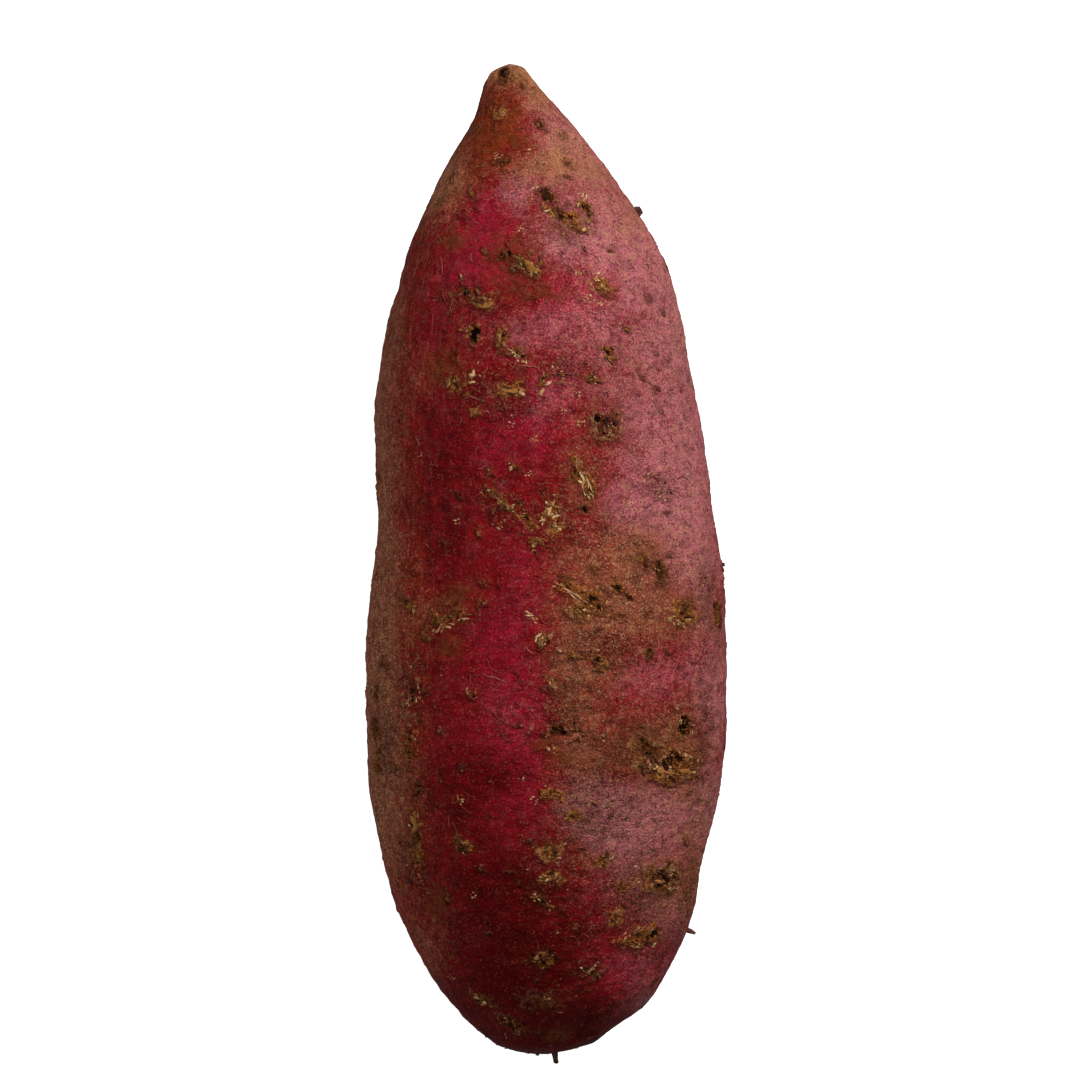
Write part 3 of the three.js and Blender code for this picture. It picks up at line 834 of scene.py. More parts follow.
class Recipe:
    """Lays out the nodes of one material, with a Principled shader at its end."""

    def __init__(self, name: str) -> None:
        """Starts an empty material.

        Args:
            name: The material's name.
        """
        self.material = bpy.data.materials.new(name)
        self.material.use_nodes = True
        self.tree = self.material.node_tree
        self.tree.nodes.clear()
        output = self.tree.nodes.new("ShaderNodeOutputMaterial")
        self.shader = self.tree.nodes.new("ShaderNodeBsdfPrincipled")
        self.tree.links.new(self.shader.outputs["BSDF"], output.inputs["Surface"])
        self.place = self._add("ShaderNodeVectorMath", "SCALE").outputs[0]
        self._feed(self.place.node.inputs[0], self._add("ShaderNodeTexCoord").outputs["Object"])
        self._feed(self.place.node.inputs["Scale"], 1 / MM)

    def _add(self, kind: str, operation: str | None = None) -> bpy.types.Node:
        """Adds a node of one kind, set to one operation if it has some."""
        node = self.tree.nodes.new(kind)
        if operation:
            node.operation = operation
        return node

    def _feed(self, socket: bpy.types.NodeSocket, value: Value) -> None:
        """Links a socket to a socket, or sets it to a number or a colour."""
        if isinstance(value, bpy.types.NodeSocket):
            self.tree.links.new(value, socket)
        else:
            socket.default_value = value

    def squeezed(self, across: float, along: float) -> Value:
        """Gives the place in millimetres, scaled across and along the root."""
        node = self._add("ShaderNodeVectorMath", "MULTIPLY")
        self._feed(node.inputs[0], self.place)
        self._feed(node.inputs[1], (across, along, across))
        return node.outputs[0]

    def mask(self, name: str) -> Value:
        """Reads one of the piece's attributes."""
        node = self._add("ShaderNodeAttribute")
        node.attribute_name = name
        return node.outputs["Fac"]

    def math(self, operation: str, first: Value, second: Value, clamp: bool = False) -> Value:
        """Adds an arithmetic step.

        Args:
            operation: Its name, such as ADD.
            first: A socket or a number.
            second: A socket or a number.
            clamp: Whether the result is kept between 0 and 1.

        Returns:
            The result's socket.
        """
        node = self._add("ShaderNodeMath", operation)
        node.use_clamp = clamp
        self._feed(node.inputs[0], first)
        self._feed(node.inputs[1], second)
        return node.outputs[0]

    def times(self, first: Value, second: Value) -> Value:
        """Multiplies two values."""
        return self.math("MULTIPLY", first, second)

    def chain(self, operation: str, *values: Value) -> Value:
        """Joins values from the first to the last by one operation, such as ADD or MAXIMUM."""
        return reduce(partial(self.math, operation), values)

    def scaled(self, value: Value, factor: float, offset: float) -> Value:
        """Gives a value times a factor, plus an offset."""
        return self.math("ADD", self.times(value, factor), offset)

    def centred(self, noise: Value) -> Value:
        """Moves the middle of a noise to 0."""
        return self.math("SUBTRACT", noise, 0.5)

    def step(self, value: Value, low: float, high: float, top: float = 1.0) -> Value:
        """Adds a smooth step that goes from 0 at low to top at high."""
        node = self._add("ShaderNodeMapRange")
        node.interpolation_type = "SMOOTHSTEP"
        self._feed(node.inputs["Value"], value)
        node.inputs["From Min"].default_value = low
        node.inputs["From Max"].default_value = high
        node.inputs["To Max"].default_value = top
        return node.outputs["Result"]

    def noise(self, spots: Spots, place: Value = None) -> Value:
        """Adds a noise, over the place in millimetres unless another is given."""
        node = self._add("ShaderNodeTexNoise")
        self._feed(node.inputs["Vector"], place or self.place)
        node.inputs["Scale"].default_value = 1 / spots.size
        node.inputs["Detail"].default_value = spots.detail
        node.inputs["Roughness"].default_value = spots.rough
        return node.outputs["Fac"]

    def mix(self, amount: Value, under: Value, over: Value, way: str = "MIX") -> Value:
        """Lays one colour over another.

        Args:
            amount: How much of the upper colour shows.
            under: The lower colour.
            over: The upper colour.
            way: How they are mixed, such as MIX or MULTIPLY.

        Returns:
            The mixed colour's socket.
        """
        node = self._add("ShaderNodeMix")
        node.data_type = "RGBA"
        node.blend_type = way
        self._feed(node.inputs[0], amount)
        self._feed(node.inputs[6], under)
        self._feed(node.inputs[7], over)
        return node.outputs[2]

    def bump(self, height: Value, distance: float) -> None:
        """Roughens the shader's surface by a height, of which 1 stands for distance in millimetres."""
        node = self._add("ShaderNodeBump")
        node.inputs["Strength"].default_value = 1.0
        node.inputs["Distance"].default_value = distance * MM
        self._feed(node.inputs["Height"], height)
        self._feed(self.shader.inputs["Normal"], node.outputs["Normal"])

    def set(self, **values: Value) -> None:
        """Sets the shader's own sockets, named in lower case with underscores."""
        for name, value in values.items():
            title = " ".join("IOR" if word == "ior" else word.capitalize() for word in name.split("_"))
            self._feed(self.shader.inputs[title], value)


# The noises of the skin, from the broadest to the finest.
CORK_TONES = Spots(7.0, 3.0)
MOTTLE = Spots(6.0, 6.0, 0.7)
BLOOM = Spots(3.4, 6.0, 0.75)
PATCHES = Spots(2.4, 5.0, 0.7)
FURROWS = Spots(2.2, 4.0, 0.6)
ROUGHENING = Spots(1.6, 4.0, 0.7)
FINE = Spots(0.9, 4.0, 0.65)
RIBS = Spots(0.6, 3.0, 0.6)
PORES = Spots(0.5, 1.0)
SPECKS = Spots(0.36, 1.0)
GRAIN = Spots(0.3, 2.0, 0.6)


@dataclass(frozen=True)
class SkinFinish:
    """The root's thin red skin: coloured zones, fine grit, stains, cork and dark holes, with painted sheen,
    highlight and shade.

    Attributes:
        crimson: The skin's usual colour.
        magenta: Its brightest patches.
        dusty_rose_and_sheen: Its dusty pink side, partly painted sheen.
        russet: Where the skin has turned brown.
        maroon_and_tail_shade: The darkest red, and painted shade on the tail.
        tan: The corky skin at the stem end.
        rust: The reddish brown beside it.
        grit: Pale grains on the skin.
        soil: The dark that sits in its grain.
        stain: The brown round scars.
        ochre: Fresh yellow cork.
        olive: Older cork.
        pale_cork_and_highlight: Dry pale cork edges, and the painted highlight on the relief's high places.
        cork_cracks_and_shade: The cracks in cork, and the painted shade in the relief's low places.
        hole: Painted shade inside a hole, near black.
    """

    crimson: Colour = tone(127, 10, 21)
    magenta: Colour = tone(154, 18, 45)
    dusty_rose_and_sheen: Colour = tone(180, 98, 106)
    russet: Colour = tone(136, 72, 50)
    maroon_and_tail_shade: Colour = tone(88, 0, 3)
    tan: Colour = tone(156, 98, 66)
    rust: Colour = tone(120, 44, 14)
    grit: Colour = tone(214, 160, 122)
    soil: Colour = tone(46, 12, 8)
    stain: Colour = tone(122, 60, 28)
    ochre: Colour = tone(168, 100, 46)
    olive: Colour = tone(120, 68, 36)
    pale_cork_and_highlight: Colour = tone(196, 152, 104)
    cork_cracks_and_shade: Colour = tone(42, 20, 12)
    hole: Colour = tone(26, 14, 10)

    def material(self) -> bpy.types.Material:
        """Lays out the skin's nodes.

        Returns:
            The material.
        """
        skin = Recipe("red_root_skin")
        fine = skin.noise(FINE)
        grain = skin.noise(GRAIN)
        ribs = skin.noise(RIBS, skin.squeezed(1.0, 0.12))
        colour = self._ground(skin, fine, grain)
        colour = self._grain(skin, colour, fine, grain, ribs)
        colour = self._cork(skin, colour, fine, grain)
        skin.set(base_color=colour, roughness=self._roughness(skin, fine), specular_ior_level=0.05)
        self._bump(skin, fine, grain, ribs)
        return skin.material

    def _ground(self, skin: Recipe, fine: Value, grain: Value) -> Value:
        """Lays the colour zones over one another, with crumbly edges and an uneven tone.

        Args:
            skin: The material.
            fine: A noise of about a millimetre.
            grain: A noise of about a third of a millimetre.

        Returns:
            The ground colour.
        """
        uneven = skin.scaled(skin.centred(skin.noise(MOTTLE)), 2.6, 1.0)
        crumbs = skin.math("SUBTRACT", skin.math("ADD", fine, grain), 1.0)
        colour = self.crimson
        # The rose zone is partly painted sheen, and the maroon zone partly painted shade at the tail.
        for zone in (Zone.MAGENTA, Zone.ROSE, Zone.MAROON, Zone.RUST, Zone.RUSSET, Zone.TAN):
            crumbly = 0.2 if zone in (Zone.MAGENTA, Zone.MAROON) else 0.6
            amount = skin.math("ADD", skin.times(skin.mask(zone.value), uneven), skin.times(crumbs, crumbly))
            colour = skin.mix(skin.step(amount, 0.1, 0.85), colour, getattr(self, zone.value))
        bloom = skin.step(skin.noise(BLOOM), 0.48, 0.7, 0.16)
        light = skin.math("SUBTRACT", 1.0, skin.mask("maroon_and_tail_shade"), clamp=True)
        colour = skin.mix(skin.times(bloom, light), colour, self.dusty_rose_and_sheen)
        return skin.mix(1.0, colour, skin.scaled(skin.noise(PATCHES), 1.8, 0.1), "MULTIPLY")

    def _grain(self, skin: Recipe, colour: Value, fine: Value, grain: Value, ribs: Value) -> Value:
        """Lays fine grain, ribs and grit over the ground colour.

        Args:
            skin: The material.
            colour: The ground colour.
            fine: A noise of about a millimetre.
            grain: A noise of about a third of a millimetre.
            ribs: A noise drawn out along the root.

        Returns:
            The colour with its grain.
        """
        rough = [skin.times(skin.mask(name), 0.8) for name in ("tan", "crumble")]
        dusty = skin.chain("MAXIMUM", skin.mask("russet"), skin.mask("dusty_rose_and_sheen"), *rough)
        ribbed = skin.mask("ribbed")
        colour = skin.mix(0.9, colour, skin.scaled(grain, 2.5, -0.25), "MULTIPLY")
        # Pale on the crests of the ribs and dark in their grooves, along the same noise that the bump raises.
        colour = skin.mix(skin.times(skin.step(ribs, 0.55, 0.7, 0.2), ribbed), colour, self.grit)
        colour = skin.mix(skin.times(skin.step(ribs, 0.46, 0.34, 0.34), ribbed), colour, self.soil)
        uneven = skin.times(skin.centred(fine), 0.5)
        pale = skin.scaled(dusty, 0.5, 0.12)
        specks = skin.chain("ADD", skin.noise(SPECKS), uneven, skin.times(dusty, 0.06))
        colour = skin.mix(skin.times(skin.step(specks, 0.58, 0.74), pale), colour, self.grit)
        pores = skin.step(skin.math("SUBTRACT", skin.noise(PORES), uneven), 0.38, 0.28, 0.75)
        colour = skin.mix(skin.times(pores, skin.math("ADD", pale, 0.3)), colour, self.soil)
        rise = skin.noise(ROUGHENING)
        colour = skin.mix(skin.times(skin.step(rise, 0.54, 0.68, 0.5), dusty), colour, self.pale_cork_and_highlight)
        return skin.mix(skin.times(skin.step(rise, 0.46, 0.34, 0.5), dusty), colour, self.soil)

    def _cork(self, skin: Recipe, colour: Value, fine: Value, grain: Value) -> Value:
        """Lays stains, cork, holes, and painted light and shade over the skin.

        Low places in the relief are painted dark, as shade and some soil, and high ones pale, as painted
        highlight on dry edges.

        Args:
            skin: The material.
            colour: The skin's colour.
            fine: A noise of about a millimetre.
            grain: A noise of about a third of a millimetre.

        Returns:
            The colour with its marks.
        """
        uneven = skin.centred(fine)
        crumbs = skin.centred(grain)
        stain = skin.times(skin.mask("stain"), skin.step(fine, 0.28, 0.6, 0.95))
        colour = skin.mix(stain, colour, self.stain)
        edge = skin.chain("ADD", skin.mask("cork"), skin.times(uneven, 1.6), skin.times(crumbs, 0.8))
        cork = skin.mix(skin.step(skin.noise(CORK_TONES), 0.42, 0.58), self.ochre, self.olive)
        # Painted light and shade on the cork: brighter where the bump's fine and grain noises stand high,
        # darker where they sink.
        cork = skin.mix(1.0, cork, skin.scaled(skin.math("ADD", uneven, crumbs), 3.8, 1.0), "MULTIPLY")
        colour = skin.mix(skin.step(edge, -0.2, 0.2, 0.92), colour, cork)
        # Painted highlight on the relief's high places and painted shade, with some soil, in its low places.
        relief = skin.times(skin.mask("relief"), 0.6)
        level = skin.chain("ADD", relief, skin.times(uneven, 0.9), skin.times(crumbs, 0.9))
        broken = skin.step(skin.mask("crumble"), 0.0, 0.7)
        colour = skin.mix(skin.times(skin.step(level, 0.1, 0.34, 0.8), broken), colour, self.pale_cork_and_highlight)
        colour = skin.mix(skin.times(skin.step(level, -0.06, -0.3, 0.92), broken), colour, self.cork_cracks_and_shade)
        # Painted shade: the insides of holes are filled near black.
        depth = skin.math("ADD", skin.mask("hole"), skin.times(uneven, 1.8))
        return skin.mix(skin.step(depth, 0.1, 0.6, 0.9), colour, self.hole)

    def _roughness(self, skin: Recipe, fine: Value) -> Value:
        """Makes clean skin satin, and brown skin and cork dull."""
        rough = skin.math("ADD", skin.scaled(fine, 0.25, 0.45), skin.times(skin.mask("russet"), 0.15))
        return skin.math("ADD", rough, skin.step(skin.mask("cork"), -0.1, 0.2, 0.25), clamp=True)

    def _bump(self, skin: Recipe, fine: Value, grain: Value, ribs: Value) -> None:
        """Gives the skin its fine grain, ribs, crumbs of cork and furrows."""
        crumbs = skin.times(skin.mask("crumble"), skin.math("ADD", grain, fine))
        layers = (
            skin.times(grain, 0.5),
            skin.times(fine, 0.6),
            skin.times(skin.mask("ribbed"), ribs),
            skin.times(crumbs, 3.4),
            skin.times(skin.noise(FURROWS, skin.squeezed(0.7, 1.4)), 2.0),
        )
        skin.bump(skin.chain("ADD", *layers), 0.36)


@dataclass(frozen=True)
class ChipFinish:
    """Dry skin and cork in chips and hairs: each has its own tone between a dark and a pale one.

    Attributes:
        name: The material's name.
        pale: The palest tone.
        middle: The tone between.
        dark: The darkest tone.
    """

    name: str
    pale: Colour
    middle: Colour
    dark: Colour

    def material(self) -> bpy.types.Material:
        """Lays out the nodes: the piece's own tint, moved a little by a fine noise."""
        chip = Recipe(self.name)
        spots = chip.noise(Spots(0.5, 3.0, 0.6))
        tint = chip.math("ADD", chip.mask("tint"), chip.times(chip.centred(spots), 0.8))
        colour = chip.mix(chip.step(tint, 0.05, 0.5), self.dark, self.middle)
        colour = chip.mix(chip.step(tint, 0.45, 0.95), colour, self.pale)
        chip.set(base_color=colour, roughness=chip.scaled(spots, 0.3, 0.5), specular_ior_level=0.2)
        chip.bump(spots, 0.06)
        return chip.material


@dataclass(frozen=True)
class FibreFinish:
    """Dried root fibre, mottled from one colour to another.

    Attributes:
        name: The material's name.
        light: Its lighter colour.
        dark: Its darker colour.
        size: The size of its mottling.
    """

    name: str
    light: Colour
    dark: Colour
    size: float = 0.6

    def material(self) -> bpy.types.Material:
        """Lays out the fibre's nodes.

        Returns:
            The material.
        """
        fibre = Recipe(self.name)
        spots = fibre.noise(Spots(self.size, 3.0, 0.6))
        colour = fibre.mix(fibre.step(spots, 0.35, 0.65), self.dark, self.light)
        fibre.set(base_color=colour, roughness=fibre.scaled(spots, 0.3, 0.55), specular_ior_level=0.3)
        fibre.bump(spots, 0.1)
        return fibre.material


@dataclass(frozen=True)
class FloorFinish:
    """A pale table that is lit from beneath, so that shadows on it stay faint.

    Attributes:
        shade: Its colour.
        glow: How bright it is by itself.
    """

    shade: Colour = (0.9, 0.9, 0.9, 1.0)
    glow: float = 0.9

    def material(self) -> bpy.types.Material:
        """Lays out the table's nodes.

        Returns:
            The material.
        """
        floor = Recipe("pale_floor")
        floor.set(
            base_color=self.shade,
            roughness=0.9,
            specular_ior_level=0.1,
            emission_color=(1.0, 1.0, 1.0, 1.0),
            emission_strength=self.glow,
        )
        return floor.material


Finish = SkinFinish | ChipFinish | FibreFinish


# ---------------------------------------------------------------------------------------------------------
# Meshes
# ---------------------------------------------------------------------------------------------------------


def closed_faces(rows: int, columns: int) -> np.ndarray:
    """Numbers the four-sided faces between rings of points, closed round each ring.

    Args:
        rows: The number of rings.
        columns: The number of points on each ring.

    Returns:
        The faces, four points each, that face out where rings run down and points run anticlockwise
        seen from the first ring's side.
    """
    row, column = np.meshgrid(np.arange(rows - 1), np.arange(columns), indexing="ij")
    here, after = row * columns + column, row * columns + (column + 1) % columns
    return np.stack((here, here + columns, after + columns, after), axis=-1).reshape(-1, 4)


def capped_faces(rows: int, columns: int) -> tuple[np.ndarray, np.ndarray]:
    """Numbers the faces of a body of rings with one more point at each end.

    Args:
        rows: The number of rings.
        columns: The number of points on each ring. The end points are numbered after all of these.

    Returns:
        The four-sided faces between the rings, and the three-sided ones round the end points.
    """
    ring = np.arange(columns)
    after = (ring + 1) % columns
    last = (rows - 1) * columns
    end = np.full(columns, rows * columns)
    first_cap = np.stack((end, ring, after), axis=-1)
    last_cap = np.stack((last + after, last + ring, end + 1), axis=-1)
    return closed_faces(rows, columns), np.vstack((first_cap, last_cap))


def mesh_object(
    name: str, points: np.ndarray, faces: list[list[int]], material: bpy.types.Material
) -> bpy.types.Object:
    """Makes a smooth-shaded object.

    Args:
        name: The piece's name.
        points: Its points, in millimetres.
        faces: Its faces, as lists of point numbers.
        material: Its finish.

    Returns:
        The object, linked to the scene.
    """
    mesh = bpy.data.meshes.new(name)
    mesh.from_pydata((points * MM).tolist(), [], faces)
    mesh.materials.append(material)
    mesh.shade_smooth()
    mesh.validate()
    piece = bpy.data.objects.new(name, mesh)
    bpy.context.scene.collection.objects.link(piece)
    return piece


def root_piece(
    name: str, points: np.ndarray, faces: list[list[int]], finish: Finish, layers: dict[str, np.ndarray]
) -> bpy.types.Object:
    """Makes a piece of the root, which rides on the root's body.

    Args:
        name: The piece's name.
        points: Its points, in millimetres.
        faces: Its faces, as lists of point numbers.
        finish: How it looks.
        layers: Values for its finish to read, by name, with one for each point.

    Returns:
        The piece.
    """
    piece = mesh_object(name, points, faces, finish.material())
    for layer, values in layers.items():
        attribute = piece.data.attributes.new(layer, "FLOAT", "POINT")
        attribute.data.foreach_set("value", values.astype(np.float32))
    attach(piece, ROOT_BODY)
    return piece


@dataclass
class RootSkin:
    """The skin: one closed mesh with its masks and its own flat layout for patterns.

    Attributes:
        surface: The skin's places and masks.
        finish: How it looks.
    """

    surface: SkinSurface
    finish: SkinFinish = SkinFinish()

    def build(self) -> bpy.types.Object:
        """Makes the skin and lets it stand for the root's solid.

        Returns:
            The skin.
        """
        ends = self.surface.places[[0, -1]].mean(axis=1)
        points = np.vstack((self.surface.places.reshape(-1, 3), ends))
        sides, caps = capped_faces(self.surface.grid.rows, self.surface.grid.columns)
        faces = sides.tolist() + caps.tolist()
        layers = {
            name: np.concatenate((mask.ravel(), (mask[0].mean(), mask[-1].mean())))
            for name, mask in self.surface.masks.items()
        }
        skin = root_piece("root_skin", points, faces, self.finish, layers)
        self._lay_out(skin.data)
        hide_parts(ROOT_NODE)
        return skin

    def _lay_out(self, mesh: bpy.types.Mesh) -> None:
        """Unrolls the skin: the way round the root is u, from its underside, and the way along it is v."""
        grid = self.surface.grid
        rows, columns = grid.rows, grid.columns
        corners = np.empty(len(mesh.loops), dtype=np.int64)
        mesh.loops.foreach_get("vertex_index", corners)
        row, column = corners // columns, corners % columns
        first = np.empty(len(mesh.polygons), dtype=np.int64)
        total = np.empty(len(mesh.polygons), dtype=np.int64)
        mesh.polygons.foreach_get("loop_start", first)
        mesh.polygons.foreach_get("loop_total", total)
        face = np.repeat(np.arange(len(first)), total)
        is_end = corners >= rows * columns
        wraps = np.zeros(len(first), dtype=bool)
        np.logical_or.at(wraps, face, (column == columns - 1) & ~is_end)
        share = (grid.around[np.minimum(column, columns - 1)] + math.pi) / (2 * math.pi)
        share = np.where(wraps[face] & (column == 0) & ~is_end, 1.0, share)
        middle = np.zeros(len(first))
        np.add.at(middle, face, np.where(is_end, 0, share) / 2)
        u = np.where(is_end, middle[face], share)
        v = np.where(is_end, np.where(corners == rows * columns, 0, 1), (row + 1) / (rows + 1))
        margin = 0.004
        uv = margin + (1 - 2 * margin) * np.stack((u, 1 - v), axis=-1)
        layer = mesh.uv_layers.new(name="OFBake")
        layer.data.foreach_set("uv", uv.astype(np.float32).ravel())


@dataclass(frozen=True)
class Stub:
    """One broken rootlet.

    Attributes:
        foot: Where it leaves the flesh, just under the skin.
        points: The way that it points.
        length: Its length from the foot.
        thick: Its radius at the foot.
        thin: Its radius near the tip.
        bend: How far its tip is off straight.
    """

    foot: Vector3
    points: Vector3
    length: float
    thick: float
    thin: float
    bend: float


STUBS = (
    Stub((1.5, -87.2, 27.4), (-0.02, -1, -0.06), 4.1, 0.95, 0.42, -0.5),
    Stub((-0.9, -87.6, 28.4), (-0.3, -1, 0.1), 2.2, 0.6, 0.3, 0.2),
    Stub((24.6, -66.0, 30.0), (1, -0.6, 0.1), 2.9, 0.85, 0.32, -0.3),
    Stub((15.4, 63.6, 31.0), (1, 0.5, 0.1), 2.2, 1.2, 0.8, 0.1),
    Stub((31.0, -0.1, 32.0), (1, 0.12, 0.2), 1.5, 0.65, 0.35, 0.1),
)


@dataclass
class Rootlets:
    """The broken rootlets that stand out of the skin.

    Attributes:
        stubs: Where they are.
        sides: The number of points round each.
        rings: The number of rings along each.
        finish: How they look.
    """

    stubs: tuple[Stub, ...] = STUBS
    sides: int = 20
    rings: int = 26
    finish: FibreFinish = FibreFinish("dry_rootlet", tone(108, 66, 50), tone(36, 18, 14))

    def _points(self, stub: Stub, seed: int) -> np.ndarray:
        """Works out one stub's rings and its two ends.

        The radius falls from thick to thin along the square root of the way, is ribbed round and along,
        and closes over the last twentieth as a quarter of an ellipse does.

        Args:
            stub: The stub.
            seed: Sets its ribs.

        Returns:
            The rings' points, then the foot's middle and the tip.
        """
        way = unit(np.array(stub.points, dtype=float))
        side = unit(np.cross(way, (0.3, 0.2, 1.0)))
        other = np.cross(way, side)
        share = np.linspace(0, 1, self.rings)[:, None]
        angle = np.linspace(0, 2 * math.pi, self.sides, endpoint=False)[None, :]
        rng = np.random.default_rng(seed)
        phase = rng.uniform(0, 2 * math.pi, 3)
        radius = stub.thick + (stub.thin - stub.thick) * np.sqrt(share)
        ribs = 0.10 * np.cos(3 * angle + phase[0]) + 0.07 * np.cos(5 * angle + 9 * share + phase[1])
        knots = 0.08 * np.sin(14 * share + phase[2])
        close = np.sqrt(np.clip(1 - np.clip((share - 0.93) / 0.07, 0, 1) ** 2, 0.02, 1))
        radius = radius * (1 + ribs + knots) * close
        core = np.array(stub.foot) + share[..., None] * stub.length * way
        core = core + stub.bend * share[..., None] ** 2 * side
        ring = np.cos(angle)[..., None] * side + np.sin(angle)[..., None] * other
        rings = core + radius[..., None] * ring
        return np.vstack((rings.reshape(-1, 3), core[0], core[-1] + 0.02 * way))

    def build(self) -> bpy.types.Object:
        """Makes all the rootlets as one piece.

        Returns:
            The piece.
        """
        points = [self._points(stub, seed) for seed, stub in enumerate(self.stubs)]
        sides, caps = capped_faces(self.rings, self.sides)
        faces = []
        for start in range(0, len(points) * len(points[0]), len(points[0])):
            faces += (start + sides[:, ::-1]).tolist() + (start + caps[:, ::-1]).tolist()
        return root_piece("broken_rootlets", np.vstack(points), faces, self.finish, {})


@dataclass
class Chips:
    """A set of small closed chips, each hinged on the skin at one side. It holds one value for each.

    Attributes:
        place: Where they are.
        out: The ways out of the skin there.
        turn: The angle of each one's longer side from straight across the root, in radians.
        long: Half their lengths.
        wide: Half their widths.
        lean: How steeply their free sides rise.
        curl: How far their ends bend up, as a share of their lengths.
        tint: Their tones, from 0 (dark) to 1 (pale).
        sides: The number of corners of each.
    """

    place: np.ndarray
    out: np.ndarray
    turn: np.ndarray
    long: np.ndarray
    wide: np.ndarray
    lean: np.ndarray
    curl: np.ndarray
    tint: np.ndarray
    sides: int = 7

    def _points(self, rng: np.random.Generator) -> np.ndarray:
        """Works out the corners.

        Each chip has a ragged outer ring, a ring at 0.55 of it, and two middles. Its height is a share of
        its thickness, plus a lean that grows across it, plus a curl that grows with the square of the
        distance along it.

        Args:
            rng: Sets how ragged the rings are.

        Returns:
            The points, as chips by corners by x, y and z.
        """
        count = len(self.long)
        long, wide = self.long[:, None], self.wide[:, None]
        thick = 0.05 + 0.12 * wide
        angle = np.linspace(0, 2 * math.pi, self.sides, endpoint=False)
        ragged = 1 + 0.3 * rng.normal(size=(count, self.sides)).clip(-2, 2)
        outer = np.stack((long * ragged * np.cos(angle), wide * ragged * np.sin(angle), 0 * ragged), axis=-1)
        inner = outer * 0.55
        inner[..., 2] = thick
        middle = np.zeros((count, 2, 3))
        middle[..., 2] = thick * (1.1, -0.8)
        local = np.concatenate((outer, inner, middle), axis=1)
        local[..., 2] += self.lean[:, None] * (local[..., 1] + 0.6 * wide)
        local[..., 2] += self.curl[:, None] * local[..., 0] ** 2 / long
        first, second = axes_on_skin(self.out, self.turn)
        flat = local[..., :1] * first[:, None] + local[..., 1:2] * second[:, None]
        return self.place[:, None] + flat + local[..., 2:] * self.out[:, None]

    def _faces(self) -> list[list[int]]:
        """Numbers the faces of all the chips, 3 times their sides for each."""
        ring = np.arange(self.sides)
        after = (ring + 1) % self.sides
        top, bottom = np.full(self.sides, 2 * self.sides), np.full(self.sides, 2 * self.sides + 1)
        slope = np.stack((ring, after, self.sides + after, self.sides + ring), axis=-1)
        upper = np.stack((self.sides + ring, self.sides + after, top), axis=-1)
        lower = np.stack((after, ring, bottom), axis=-1)
        start = np.arange(len(self.long))[:, None, None] * (2 * self.sides + 2)
        faces = (start + slope).reshape(-1, 4).tolist()
        return faces + (start + upper).reshape(-1, 3).tolist() + (start + lower).reshape(-1, 3).tolist()

    def piece(self, name: str, finish: ChipFinish, rng: np.random.Generator) -> bpy.types.Object:
        """Makes all the chips as one piece.

        Args:
            name: The piece's name.
            finish: How they look.
            rng: Sets how ragged they are.

        Returns:
            The piece.
        """
        points = self._points(rng)
        tint = np.repeat(self.tint, points.shape[1])
        return root_piece(name, points.reshape(-1, 3), self._faces(), finish, {"tint": tint})


@dataclass
class Flakes:
    """Loose flakes of dry skin, strewn over the root and thickest on its scars and rough areas.

    Attributes:
        surface: The skin that they stand on.
        seed: Sets where they are and how they are shaped.
        scattered: How many stand on a square millimetre of clean skin.
        finish: How they look.
    """

    surface: SkinSurface
    seed: int = 21
    scattered: float = 0.03
    finish: ChipFinish = ChipFinish(
        "dry_skin_flakes", tone(206, 158, 122), tone(146, 84, 56), tone(70, 32, 20)
    )

    def build(self) -> bpy.types.Object:
        """Makes all the flakes as one piece.

        Returns:
            The piece.
        """
        rng = np.random.default_rng(self.seed)
        surface = self.surface
        dull = 0.5 + surface.masks["dusty_rose_and_sheen"] + surface.masks["russet"]
        flaking = 1.6 * surface.flaking + self.scattered * dull
        high = surface.grid.base[..., 2] > 2.0
        row, column = np.nonzero(rng.random(flaking.shape) < flaking * surface.area() * high)
        count = len(row)
        place, out = surface.at(row + rng.uniform(-0.5, 0.5, count), column + rng.uniform(-0.5, 0.5, count))
        rough = smooth_step(0.05, 0.3, surface.flaking[row, column])
        long = 0.08 + 0.12 * rng.random(count) + 0.45 * rng.random(count) ** 2.5 * rough
        chips = Chips(
            place=place,
            out=out,
            turn=rng.normal(0, 0.8, count) + math.pi * rng.integers(0, 2, count),
            long=long,
            wide=long * rng.uniform(0.25, 0.8, count),
            lean=rng.uniform(0.1, 0.7, count),
            curl=rng.uniform(0.0, 0.3, count),
            tint=rng.beta(1.2, 1.8, count) * (1 - 0.6 * smooth_step(0.3, 0.6, long)),
        )
        return chips.piece("dry_skin_flakes", self.finish, rng)


@dataclass(frozen=True)
class Sliver:
    """One larger sliver of cork on the top side, at its real size.

    Attributes:
        x: Its middle across the root, as seen from above.
        y: Its middle along the root, as seen from above.
        length: Its length.
        width: Its width.
        turn: The angle of its longer side from straight across the root, in degrees.
        tint: Its tone, from 0 (brown) through ochre to 1 (cream).
        parts: The number of chips that it has crumbled into.
    """

    x: float
    y: float
    length: float
    width: float
    turn: float
    tint: float
    parts: int = 8


